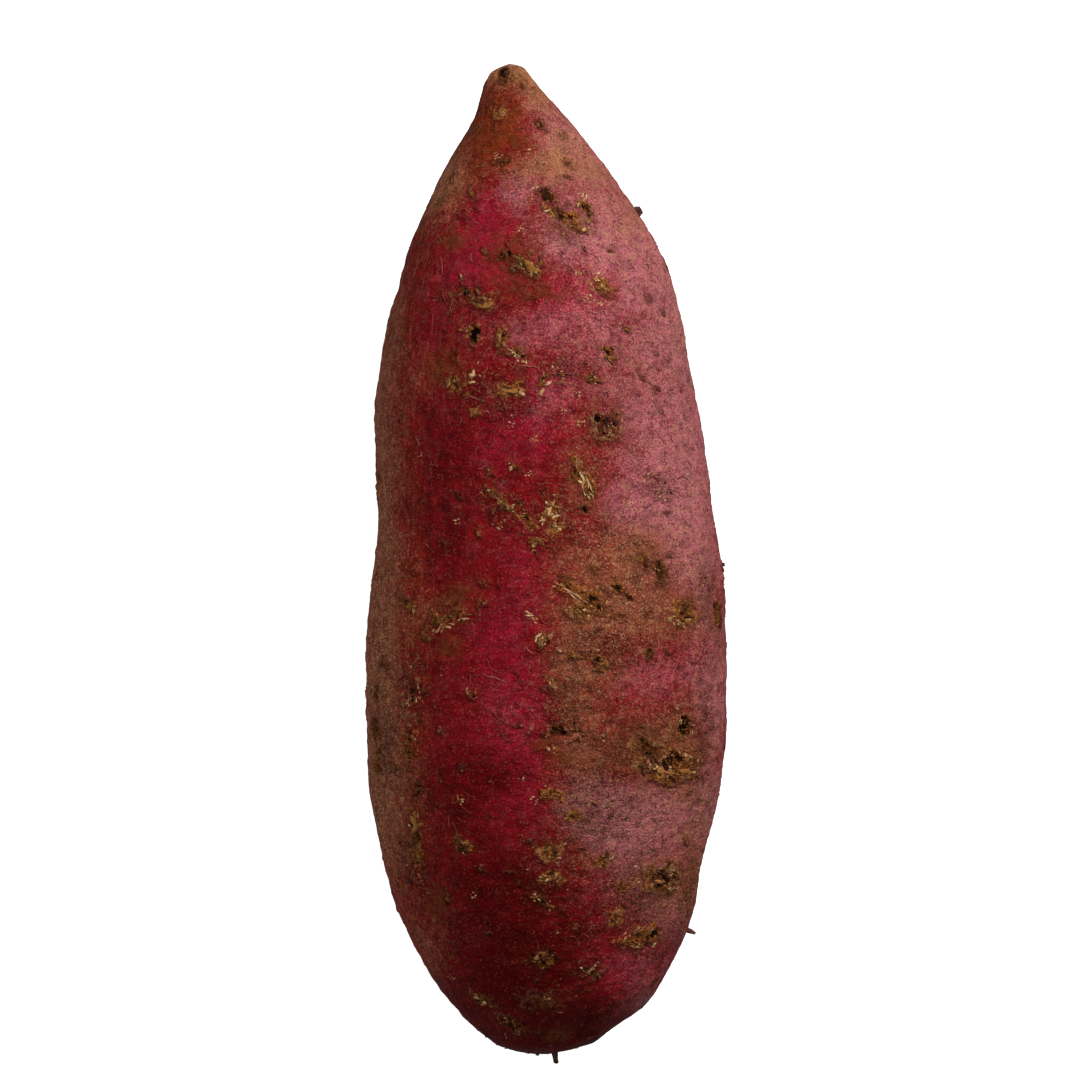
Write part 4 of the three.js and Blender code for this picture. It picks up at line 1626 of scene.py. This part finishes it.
SLIVERS = tuple(Sliver(*row) for row in (
    # Each row: x, y, length, width, turn, tint, and how many parts if it isn't the usual number.
    # smooth cork that has stayed whole
    (-24.2, -47.0, 3.6, 1.8, 80, 0.45, 1), (-6.4, 31.7, 3.4, 1.2, -5, 0.45, 1),
    (-11.2, 47.4, 3.0, 1.5, 6, 0.42, 1), (-2.4, 53.4, 3.6, 1.5, -38, 0.42, 1),
    (21.0, -38.2, 3.6, 1.2, -10, 0.5, 1), (25.2, -38.0, 3.2, 1.2, 6, 0.5, 1),
    (6.4, 16.4, 5.0, 0.4, -68, 0.9, 1), (7.7, 15.0, 4.2, 0.35, -70, 0.8, 1),
    (20.4, -58.2, 3.4, 0.9, -8, 0.5, 1), (26.0, -10.4, 2.2, 1.0, 10, 0.55, 1),
    # the stem end
    (-6.0, 89.2, 1.6, 0.7, 10, 0.6), (-8.6, 88.6, 1.2, 0.6, -30, 0.4),
    (-4.9, 88.0, 1.2, 0.6, 40, 0.5), (-0.6, 83.1, 1.0, 0.5, -40, 0.4),
    (-1.6, 79.6, 1.2, 0.4, 60, 0.5), (-2.6, 75.6, 1.4, 0.5, 15, 0.4),
    (3.4, 73.6, 1.4, 0.5, -20, 0.5), (-8.6, 74.2, 1.8, 0.4, 8, 0.6),
    # the hooked scar
    (-1.9, 68.4, 1.4, 0.7, 60, 0.9), (-2.9, 66.8, 1.2, 0.5, -30, 0.5),
    (0.7, 64.3, 2.2, 1.0, -30, 0.75), (6.6, 66.2, 2.4, 0.7, 80, 0.9),
    (8.6, 64.2, 2.4, 0.6, 100, 0.7), (7.9, 62.2, 1.6, 0.8, 50, 0.8),
    (7.2, 60.8, 1.4, 0.6, -20, 0.8), (4.4, 61.4, 1.8, 0.6, -10, 0.5),
    (2.8, 62.4, 1.6, 0.5, 30, 0.4), (12.6, 66.7, 1.4, 0.3, 85, 0.9),
    (-4.8, 60.6, 1.5, 0.9, 40, 0.7),
    # under it
    (9.7, 51.9, 1.8, 0.9, -30, 0.95), (8.6, 50.6, 1.6, 0.6, -50, 0.7),
    (6.1, 53.0, 1.5, 0.6, 70, 0.7), (-3.2, 54.2, 2.4, 0.9, -35, 0.55),
    (-1.8, 52.6, 1.6, 0.7, -50, 0.6), (-4.8, 55.4, 1.6, 0.6, -30, 0.3),
    (-13.6, 50.0, 2.2, 0.4, -6, 0.5), (-9.6, 49.4, 2.2, 0.4, 6, 0.6),
    (-11.0, 47.2, 2.4, 1.3, 6, 0.5), (9.9, 47.2, 1.3, 0.8, 30, 0.95),
    (7.8, 48.0, 2.0, 0.6, -35, 0.7),
    # round the pair of holes
    (-14.3, 42.6, 2.0, 0.5, 80, 0.7), (-12.0, 40.6, 1.4, 0.5, -10, 0.6),
    (-8.4, 41.4, 1.8, 0.5, 80, 0.7), (-5.6, 38.3, 2.8, 0.6, -24, 0.85),
    (-4.6, 37.4, 1.8, 0.5, -40, 0.8), (11.0, 37.6, 1.6, 0.6, -40, 0.5),
    # the ochre patches
    (-13.4, 34.2, 2.0, 1.1, -40, 0.9), (-16.6, 32.8, 2.4, 1.2, 10, 0.45),
    (-6.6, 31.8, 2.6, 1.2, 0, 0.45), (-4.9, 31.2, 1.8, 0.8, -10, 0.85),
    (-13.0, 27.6, 2.0, 0.8, -8, 0.5), (-0.3, 32.4, 3.4, 0.9, 58, 0.9),
    (0.9, 34.8, 1.6, 0.5, 40, 0.6), (2.8, 34.6, 1.5, 0.5, -10, 0.8),
    (3.0, 33.0, 1.6, 0.4, 10, 0.3), (8.5, 33.5, 1.7, 0.7, -30, 0.8),
    (5.7, 30.8, 1.1, 0.7, 30, 0.8), (3.3, 27.9, 0.9, 0.5, 0, 0.8),
    # the round scar
    (6.3, 25.5, 1.3, 0.5, 70, 0.7), (8.6, 25.2, 1.2, 0.4, -60, 0.5),
    (11.6, 23.4, 2.2, 0.6, -12, 0.6), (12.0, 24.6, 1.8, 0.4, 10, 0.4),
    (13.4, 25.2, 2.0, 0.5, 80, 0.6), (12.4, 26.8, 1.4, 0.4, -50, 0.5),
    (10.0, 22.8, 1.2, 0.4, 20, 0.4),
    # the middle
    (6.1, 18.2, 2.6, 0.5, -76, 0.65), (7.2, 14.2, 3.2, 0.8, -68, 0.7),
    (8.2, 12.0, 2.0, 0.6, -70, 0.5), (0.6, 10.2, 2.6, 1.2, 70, 1.0),
    (1.6, 9.2, 1.5, 0.8, 20, 0.9), (-0.7, 8.2, 1.8, 0.5, 62, 0.85),
    (1.9, 6.6, 1.7, 0.8, -30, 0.6), (-11.2, 12.8, 1.6, 0.5, -30, 0.6),
    (-8.6, 11.8, 1.4, 0.5, -60, 0.6), (-6.8, 10.5, 1.8, 0.5, -30, 0.7),
    (-4.4, 9.0, 1.6, 0.4, 10, 0.6), (-8.5, 6.9, 1.3, 0.5, -10, 0.6),
    (-2.1, 3.7, 1.6, 0.6, 50, 0.6), (-1.2, 4.4, 1.2, 0.4, -20, 0.3),
    (-6.6, 17.6, 0.9, 0.6, 40, 0.95), (-3.1, 16.6, 1.1, 0.4, 0, 0.95),
    (-1.7, 22.7, 1.3, 0.4, -10, 0.7), (-6.2, 25.2, 1.3, 0.5, 0, 0.7),
    (-22.5, 20.0, 0.9, 0.4, 60, 0.9), (-16.2, 7.8, 1.1, 0.4, 0, 0.8),
    (15.5, 10.9, 1.1, 0.7, 20, 1.0), (20.7, 12.3, 1.3, 0.7, 0, 0.95),
    (18.4, 15.5, 1.5, 0.6, 60, 0.5),
    # the brown patch
    (3.6, -4.3, 3.6, 0.3, -32, 1.0, 1), (6.2, -6.1, 3.2, 0.32, -38, 1.0, 1),
    (4.6, -5.4, 2.4, 0.22, -44, 0.9, 1), (2.2, -3.5, 1.8, 0.6, -30, 0.7),
    (8.0, -8.6, 2.6, 0.8, 10, 0.5), (5.8, -8.8, 1.8, 0.7, -10, 0.4),
    (10.6, -7.0, 1.4, 0.5, 60, 0.3), (9.7, -0.9, 1.2, 0.4, -60, 0.6),
    (17.0, 0.6, 1.8, 0.5, -30, 0.4), (20.6, -2.4, 1.8, 0.6, 70, 0.4),
    (24.4, -10.6, 1.6, 0.9, 0, 0.85), (22.9, -9.2, 1.8, 0.8, 70, 0.65),
    (26.6, -8.0, 1.8, 0.5, 80, 0.3), (28.1, -11.0, 1.1, 0.5, 30, 0.8),
    (10.5, -17.8, 1.6, 0.5, 20, 0.7), (8.7, -15.6, 1.3, 0.6, -20, 0.7),
    (12.6, -15.0, 1.4, 0.4, -30, 0.5), (19.1, -16.1, 1.2, 0.5, 0, 0.5),
    (14.4, -12.6, 1.2, 0.5, 20, 0.5),
    # the left middle
    (-24.4, -7.9, 2.6, 0.5, -24, 0.7), (-18.8, -11.6, 3.2, 0.6, 24, 0.7),
    (-15.4, -9.8, 2.8, 0.5, 28, 0.6), (-20.4, -12.4, 1.6, 0.7, 20, 0.5),
    (-1.3, -13.4, 1.9, 0.9, 66, 1.0), (0.4, -13.2, 1.5, 0.3, 20, 0.8),
    (-2.4, -9.5, 3.2, 0.4, -24, 0.8), (0.6, -21.4, 2.0, 0.7, -60, 0.7),
    (-12.6, -23.4, 1.2, 0.4, 70, 0.8), (-14.4, -23.2, 1.0, 0.4, 80, 0.7),
    (-24.8, -24.6, 3.0, 0.5, 86, 0.75), (-22.9, -23.6, 3.0, 0.4, 92, 0.8),
    (-23.6, -31.0, 1.8, 0.5, 70, 0.5),
    # the wide scar
    (24.2, -28.6, 1.8, 0.5, 50, 0.8), (26.8, -30.2, 1.8, 0.5, 70, 0.7),
    (25.0, -31.4, 1.6, 0.4, -10, 0.7), (25.6, -34.4, 2.6, 0.6, -16, 0.7),
    (22.2, -34.4, 2.0, 0.5, 6, 0.4), (18.8, -36.6, 3.2, 0.9, -16, 0.5),
    (21.8, -38.0, 3.2, 0.9, -6, 0.55), (25.0, -38.2, 3.2, 0.9, 4, 0.5),
    (27.4, -37.0, 1.8, 0.8, 40, 0.5), (16.2, -33.6, 2.0, 0.6, -40, 0.4),
    (1.5, -33.8, 1.6, 0.6, -30, 0.7), (-4.4, -39.1, 0.7, 0.4, 0, 0.9),
    (-2.4, -42.9, 1.1, 0.6, 40, 0.95), (-15.5, -42.7, 1.3, 0.5, -50, 0.8),
    (1.8, -41.6, 1.6, 0.5, 10, 0.4),
    # the lower left
    (-24.1, -46.7, 3.4, 1.7, 78, 0.5), (-23.2, -52.6, 2.2, 1.0, 88, 0.55),
    (-24.4, -50.4, 1.8, 0.5, 70, 0.2), (-15.3, -51.0, 1.5, 0.5, 10, 0.7),
    # the cream chip at x -13.0, y -60.3 stands in for a glint: a painted highlight
    (-15.0, -52.2, 1.2, 0.4, -30, 0.6), (-13.0, -60.3, 1.1, 0.5, 20, 1.0),
    (-20.3, -64.4, 0.9, 0.5, 0, 0.6), (-17.1, -75.3, 1.4, 0.4, -10, 0.7),
    # the lower middle
    (0.2, -51.6, 1.4, 0.7, 30, 0.55), (1.8, -52.6, 1.4, 0.6, -50, 0.5),
    (1.0, -53.4, 1.2, 0.5, 80, 0.6), (1.0, -56.9, 2.2, 0.9, 30, 0.7),
    (-0.6, -57.4, 1.2, 0.5, -10, 0.6), (-1.7, -60.8, 1.7, 0.6, -20, 0.95),
    (0.5, -62.1, 1.8, 0.7, -60, 0.8), (1.9, -66.7, 0.6, 0.4, 0, 1.0),
    (11.4, -53.4, 2.0, 0.4, 16, 0.8), (10.6, -54.6, 1.6, 0.5, -20, 0.6),
    (-1.6, -71.6, 1.8, 0.5, 20, 0.6), (0.6, -71.0, 1.4, 0.4, 0, 0.5),
    (8.4, -73.4, 1.2, 0.4, 60, 0.9), (7.2, -74.2, 1.0, 0.4, 0, 0.8),
    (9.2, -72.6, 0.8, 0.3, -40, 0.9),
    # the lower right
    (19.2, -56.4, 2.4, 0.6, 24, 0.6), (22.0, -55.6, 2.6, 0.5, -8, 0.6),
    (24.4, -56.8, 1.8, 0.6, -50, 0.5), (21.6, -58.4, 3.0, 0.7, 0, 0.5),
    (16.4, -57.6, 1.6, 0.5, 20, 0.6), (25.9, -49.0, 1.2, 0.5, 30, 0.8),
    (28.1, -46.7, 1.1, 0.5, 60, 0.8), (14.4, -67.4, 1.8, 0.5, 70, 0.7),
    (16.4, -69.4, 2.6, 0.6, 0, 0.7), (19.8, -69.0, 1.8, 0.5, 20, 0.6),
    (17.0, -66.0, 2.2, 0.4, 6, 0.6), (20.8, -67.4, 1.6, 0.5, 80, 0.6),
    (12.6, -63.4, 1.8, 0.6, 40, 0.5),
    # the tail
    (-11.9, -78.9, 2.2, 0.8, -20, 0.75), (-0.4, -79.2, 1.8, 0.5, 0, 0.35),
    (-5.0, -84.6, 1.4, 0.4, -40, 0.6),
))


@dataclass
class CorkSlivers:
    """The larger slivers of cork on the scars, each at its own place.

    Attributes:
        surface: The skin that they stand on.
        slivers: Where they are.
        seed: Sets how ragged they are.
        finish: How they look.
    """

    surface: SkinSurface
    slivers: tuple[Sliver, ...] = SLIVERS
    seed: int = 61
    finish: ChipFinish = ChipFinish("cork_slivers", tone(220, 180, 130), tone(160, 104, 44), tone(70, 38, 18))

    def build(self) -> bpy.types.Object:
        """Makes all the slivers as one piece.

        Returns:
            The piece.
        """
        rng = np.random.default_rng(self.seed)
        sliver = self._broken(rng)
        spots = np.array([self.surface.grid.seek(x, y) for x, y in sliver[:, :2]])
        spots = spots + rng.uniform(-0.5, 0.5, spots.shape)
        place, out = self.surface.at(spots[:, 0], spots[:, 1])
        count = len(spots)
        chips = Chips(
            place=place - 0.04 * out,
            out=out,
            turn=sliver[:, 4] + math.pi * rng.integers(0, 2, count),
            long=sliver[:, 2],
            wide=sliver[:, 3],
            lean=rng.uniform(0.0, 0.4, count),
            curl=rng.uniform(0.0, 0.3, count),
            tint=sliver[:, 5],
            sides=9,
        )
        return chips.piece("cork_slivers", self.finish, rng)

    def _broken(self, rng: np.random.Generator) -> np.ndarray:
        """Breaks each sliver into chips, spread along it and a little to its sides.

        Args:
            rng: Sets how they break.

        Returns:
            A row for each chip: x, y, half its length, half its width, its turn in radians, and its tint.
        """
        whole = [(s.x, s.y, s.length, s.width, math.radians(s.turn), s.tint, s.parts) for s in self.slivers]
        whole = np.repeat(np.array(whole), [s.parts for s in self.slivers], axis=0)
        x, y, length, width, turn, tint, parts = whole.T
        loose = (parts > 1).astype(float)
        along = loose * length * rng.uniform(-0.5, 0.5, len(x))
        aside = loose * width * rng.normal(0, 0.55, len(x))
        long = length * (0.5 - loose * rng.uniform(0.24, 0.42, len(x)))
        wide = width * (0.5 - loose * rng.uniform(0.1, 0.35, len(x)))
        chips = (
            x + along * np.cos(turn) - aside * np.sin(turn),
            y + along * np.sin(turn) + aside * np.cos(turn),
            long,
            np.minimum(wide, 0.7 * long),
            turn + loose * rng.normal(0, 0.5, len(x)),
            (tint + loose * rng.normal(-0.08, 0.22, len(x))).clip(0, 1),
        )
        return np.stack(chips, axis=-1)


@dataclass(frozen=True)
class Tuft:
    """A group of root hairs that lie on the skin.

    Attributes:
        x: Its middle across the root, as seen from above.
        y: Its middle along the root, as seen from above.
        reach: How far it spreads.
        count: How many hairs it has.
        turn: The way that they run, in degrees from straight across the root.
        length: How long they are.
    """

    x: float
    y: float
    reach: float
    count: int
    turn: float
    length: float


TUFTS = tuple(Tuft(*row) for row in (
    # Each row: x, y, reach, count, turn, length.
    (-23, 52, 5.0, 22, 62, 4.5), (-19, 44, 4.0, 12, 60, 4.0), (-14, 62, 6.0, 8, 70, 3.0),
    (-5, 36, 4.0, 14, -28, 3.5), (0, 45, 5.0, 16, 30, 3.0), (-7, 28, 4.0, 12, 10, 3.0),
    (9, 44, 4.0, 12, -60, 3.0), (18, 55, 7.0, 16, 40, 2.6), (22, 32, 6.0, 18, 20, 2.6),
    (20, 15, 6.0, 26, 55, 3.0), (10, 12, 4.0, 10, 60, 3.0), (-13, -22, 5.0, 5, -34, 4.5),
    (-8, -26, 4.0, 12, -20, 3.5), (2, -10, 5.0, 12, -25, 3.0), (17, -48, 7.0, 34, 20, 2.6),
    (10, -22, 6.0, 14, 0, 3.0), (24, -56, 5.0, 14, 10, 2.6), (9, -70, 5.0, 12, 60, 2.6),
    (10, -81, 4.0, 5, 42, 6.0), (-16, -46, 6.0, 10, -60, 3.0),
))


@dataclass
class RootHairs:
    """Dried root hairs: thin tubes that wander over the skin.

    Attributes:
        surface: The skin that they lie on.
        tufts: The groups on the top side.
        loose: How many more lie all over the root.
        seed: Sets where they are and how they bend.
        sides: The number of sides of each tube.
        rings: The number of rings along each.
        finish: How they look.
    """

    surface: SkinSurface
    tufts: tuple[Tuft, ...] = TUFTS
    loose: int = 420
    seed: int = 51
    sides: int = 4
    rings: int = 9
    finish: ChipFinish = ChipFinish(
        "dry_root_hairs", tone(206, 150, 122), tone(160, 88, 70), tone(100, 42, 30)
    )

    def _starts(self, rng: np.random.Generator) -> np.ndarray:
        """Chooses where each hair starts and how it runs.

        Args:
            rng: The source of chance.

        Returns:
            One line for each hair: its row, its column, its heading and its length.
        """
        grid = self.surface.grid
        lines = []
        for tuft in self.tufts:
            for _ in range(tuft.count):
                x, y = rng.normal((tuft.x, tuft.y), tuft.reach * 0.55)
                heading = math.radians(tuft.turn) + rng.normal(0, 0.5)
                lines.append((*grid.seek(x, y), heading, tuft.length * rng.uniform(0.4, 1.2)))
        row = rng.integers(6, grid.rows - 6, self.loose)
        column = rng.integers(0, grid.columns, self.loose)
        heading = rng.uniform(-math.pi, math.pi, self.loose)
        length = rng.uniform(0.6, 2.6, self.loose)
        return np.vstack((lines, np.stack((row, column, heading, length), axis=-1)))

    def _paths(self, starts: np.ndarray, rng: np.random.Generator) -> tuple[np.ndarray, np.ndarray]:
        """Walks each hair over the skin, one step at a time, with a heading that drifts.

        Args:
            starts: The row, column, heading and length of each hair.
            rng: The source of chance.

        Returns:
            The hairs' places and the ways out of the skin there, as hairs by rings by x, y and z.
        """
        base = self.surface.grid.base
        along = np.linalg.norm(np.gradient(base, axis=0), axis=-1)
        across = np.linalg.norm(np.roll(base, -1, axis=1) - base, axis=-1)
        row, column, heading, length = starts.T.copy()
        curl = rng.normal(0, 0.22, len(row))
        step = length / (self.rings - 1)
        places, outs = [], []
        for _ in range(self.rings):
            place, out = self.surface.at(row, column)
            places.append(place)
            outs.append(out)
            near = np.clip(row, 0, len(base) - 1).astype(int), column.astype(int) % base.shape[1]
            heading = heading + curl * 0.6 + rng.normal(0, 0.25, len(row))
            row = row - step * np.sin(heading) / np.maximum(along[near], 0.1)
            column = column + step * np.cos(heading) / np.maximum(across[near], 0.1)
        return np.stack(places, axis=1), np.stack(outs, axis=1)

    def build(self) -> bpy.types.Object:
        """Makes all the hairs as one piece.

        The radius is thinnest at the ends and follows the square root of sin(pi s) between them. The
        middle of each hair arches a little off the skin.

        Returns:
            The piece.
        """
        rng = np.random.default_rng(self.seed)
        places, outs = self._paths(self._starts(rng), rng)
        count = len(places)
        share = np.linspace(0, 1, self.rings)
        thick = rng.uniform(0.03, 0.065, count)[:, None] * (0.35 + 0.65 * np.sqrt(np.sin(math.pi * share)))
        arch = rng.uniform(0.0, 0.15, count)[:, None] * np.sin(math.pi * share)
        core = places + (0.6 * thick + arch)[..., None] * outs
        ahead = unit(np.gradient(core, axis=1))
        side = unit(np.cross(ahead, outs))
        angle = np.linspace(0, 2 * math.pi, self.sides, endpoint=False)[:, None]
        ring = np.cos(angle) * side[:, :, None] + np.sin(angle) * outs[:, :, None]
        points = core[:, :, None] + thick[..., None, None] * ring
        tint = np.repeat(rng.beta(1.3, 2.8, count), self.rings * self.sides)
        faces = self._faces(count)
        return root_piece("dry_root_hairs", points.reshape(-1, 3), faces, self.finish, {"tint": tint})

    def _faces(self, count: int) -> list[list[int]]:
        """Numbers the faces of all the hairs, with one face over each end."""
        ring = np.arange(self.sides)
        last = (self.rings - 1) * self.sides
        one = np.vstack((closed_faces(self.rings, self.sides), ring, last + ring[::-1]))
        start = np.arange(count)[:, None, None] * self.rings * self.sides
        return (start + one).reshape(-1, 4).tolist()


# ---------------------------------------------------------------------------------------------------------
# The studio
# ---------------------------------------------------------------------------------------------------------


@dataclass(frozen=True)
class SoftLight:
    """A square soft light that points at the root.

    Attributes:
        name: The light's name.
        place: Where it hangs.
        size: The side of the square.
        power: Its power, in watts.
        colour: Its colour.
        target: The place that it points at.
    """

    name: str
    place: Vector3
    size: float
    power: float
    colour: Vector3
    target: Vector3 = (0.0, 0.0, 30.0)

    def hang(self) -> None:
        """Adds the light to the scene."""
        light = bpy.data.lights.new(self.name, "AREA")
        light.size = self.size * MM
        light.energy = self.power
        light.color = self.colour
        lamp = bpy.data.objects.new(self.name, light)
        lamp.location = np.array(self.place) * MM
        aim = unit(np.array(self.target) - self.place)
        lamp.rotation_euler = (math.acos(-aim[2]), 0, math.atan2(-aim[0], aim[1]))
        bpy.context.scene.collection.objects.link(lamp)


@dataclass
class Studio:
    """The table, the lights and the camera.

    Attributes:
        view_width: The width of what the camera sees at the root's widest outline.
        floor_half: Half the side of the table.
        glow: The strength of the light from all round.
        lights: The lights.
    """

    view_width: float = 196.4
    floor_half: float = 4000.0
    glow: float = 0.2
    lights: tuple[SoftLight, ...] = (
        SoftLight("key", (430, 560, 540), 260, 6.0, (1.0, 0.97, 0.94)),
        SoftLight("fill", (-600, 60, 520), 700, 1.8, (0.96, 0.98, 1.0)),
    )

    def build(self) -> None:
        """Sets up the table, the lights and the camera."""
        self._floor()
        for light in self.lights:
            light.hang()
        world = bpy.data.worlds.new("studio")
        world.use_nodes = True
        background = world.node_tree.nodes["Background"]
        background.inputs["Color"].default_value = (1.0, 1.0, 1.0, 1.0)
        background.inputs["Strength"].default_value = self.glow
        scene = bpy.context.scene
        scene.world = world
        scene.view_settings.view_transform = "Standard"
        self._camera()

    def _floor(self) -> None:
        """Lays the pale table under the root."""
        corners = np.array(((-1, -1, 0), (1, -1, 0), (1, 1, 0), (-1, 1, 0))) * self.floor_half
        floor = mesh_object("floor", corners, [[0, 1, 2, 3]], FloorFinish().material())
        floor.visible_diffuse = False
        floor.visible_glossy = False

    def _camera(self) -> None:
        """Hangs the camera straight over the root, with the stem end at the top of its view."""
        data = bpy.data.cameras.new("camera")
        distance = EYE[2] - OUTLINE_LEVEL
        data.lens = data.sensor_width * distance / self.view_width
        data.clip_start = 0.01
        data.clip_end = 20.0
        camera = bpy.data.objects.new("camera", data)
        camera.location = np.array(EYE) * MM
        bpy.context.scene.collection.objects.link(camera)
        bpy.context.scene.camera = camera


def main() -> None:
    """Builds the root and the studio, and reports each piece."""
    logging.basicConfig(level=logging.INFO, format="%(message)s")
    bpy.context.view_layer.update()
    surface = SkinSurface(SkinGrid(RootForm()))
    parts = (RootSkin(surface), Rootlets(), Flakes(surface), CorkSlivers(surface), RootHairs(surface))
    for part in parts:
        piece = part.build()
        LOG.info("%s: %d faces", piece.name, len(piece.data.polygons))
    Studio().build()


if __name__ == "__main__":
    main()
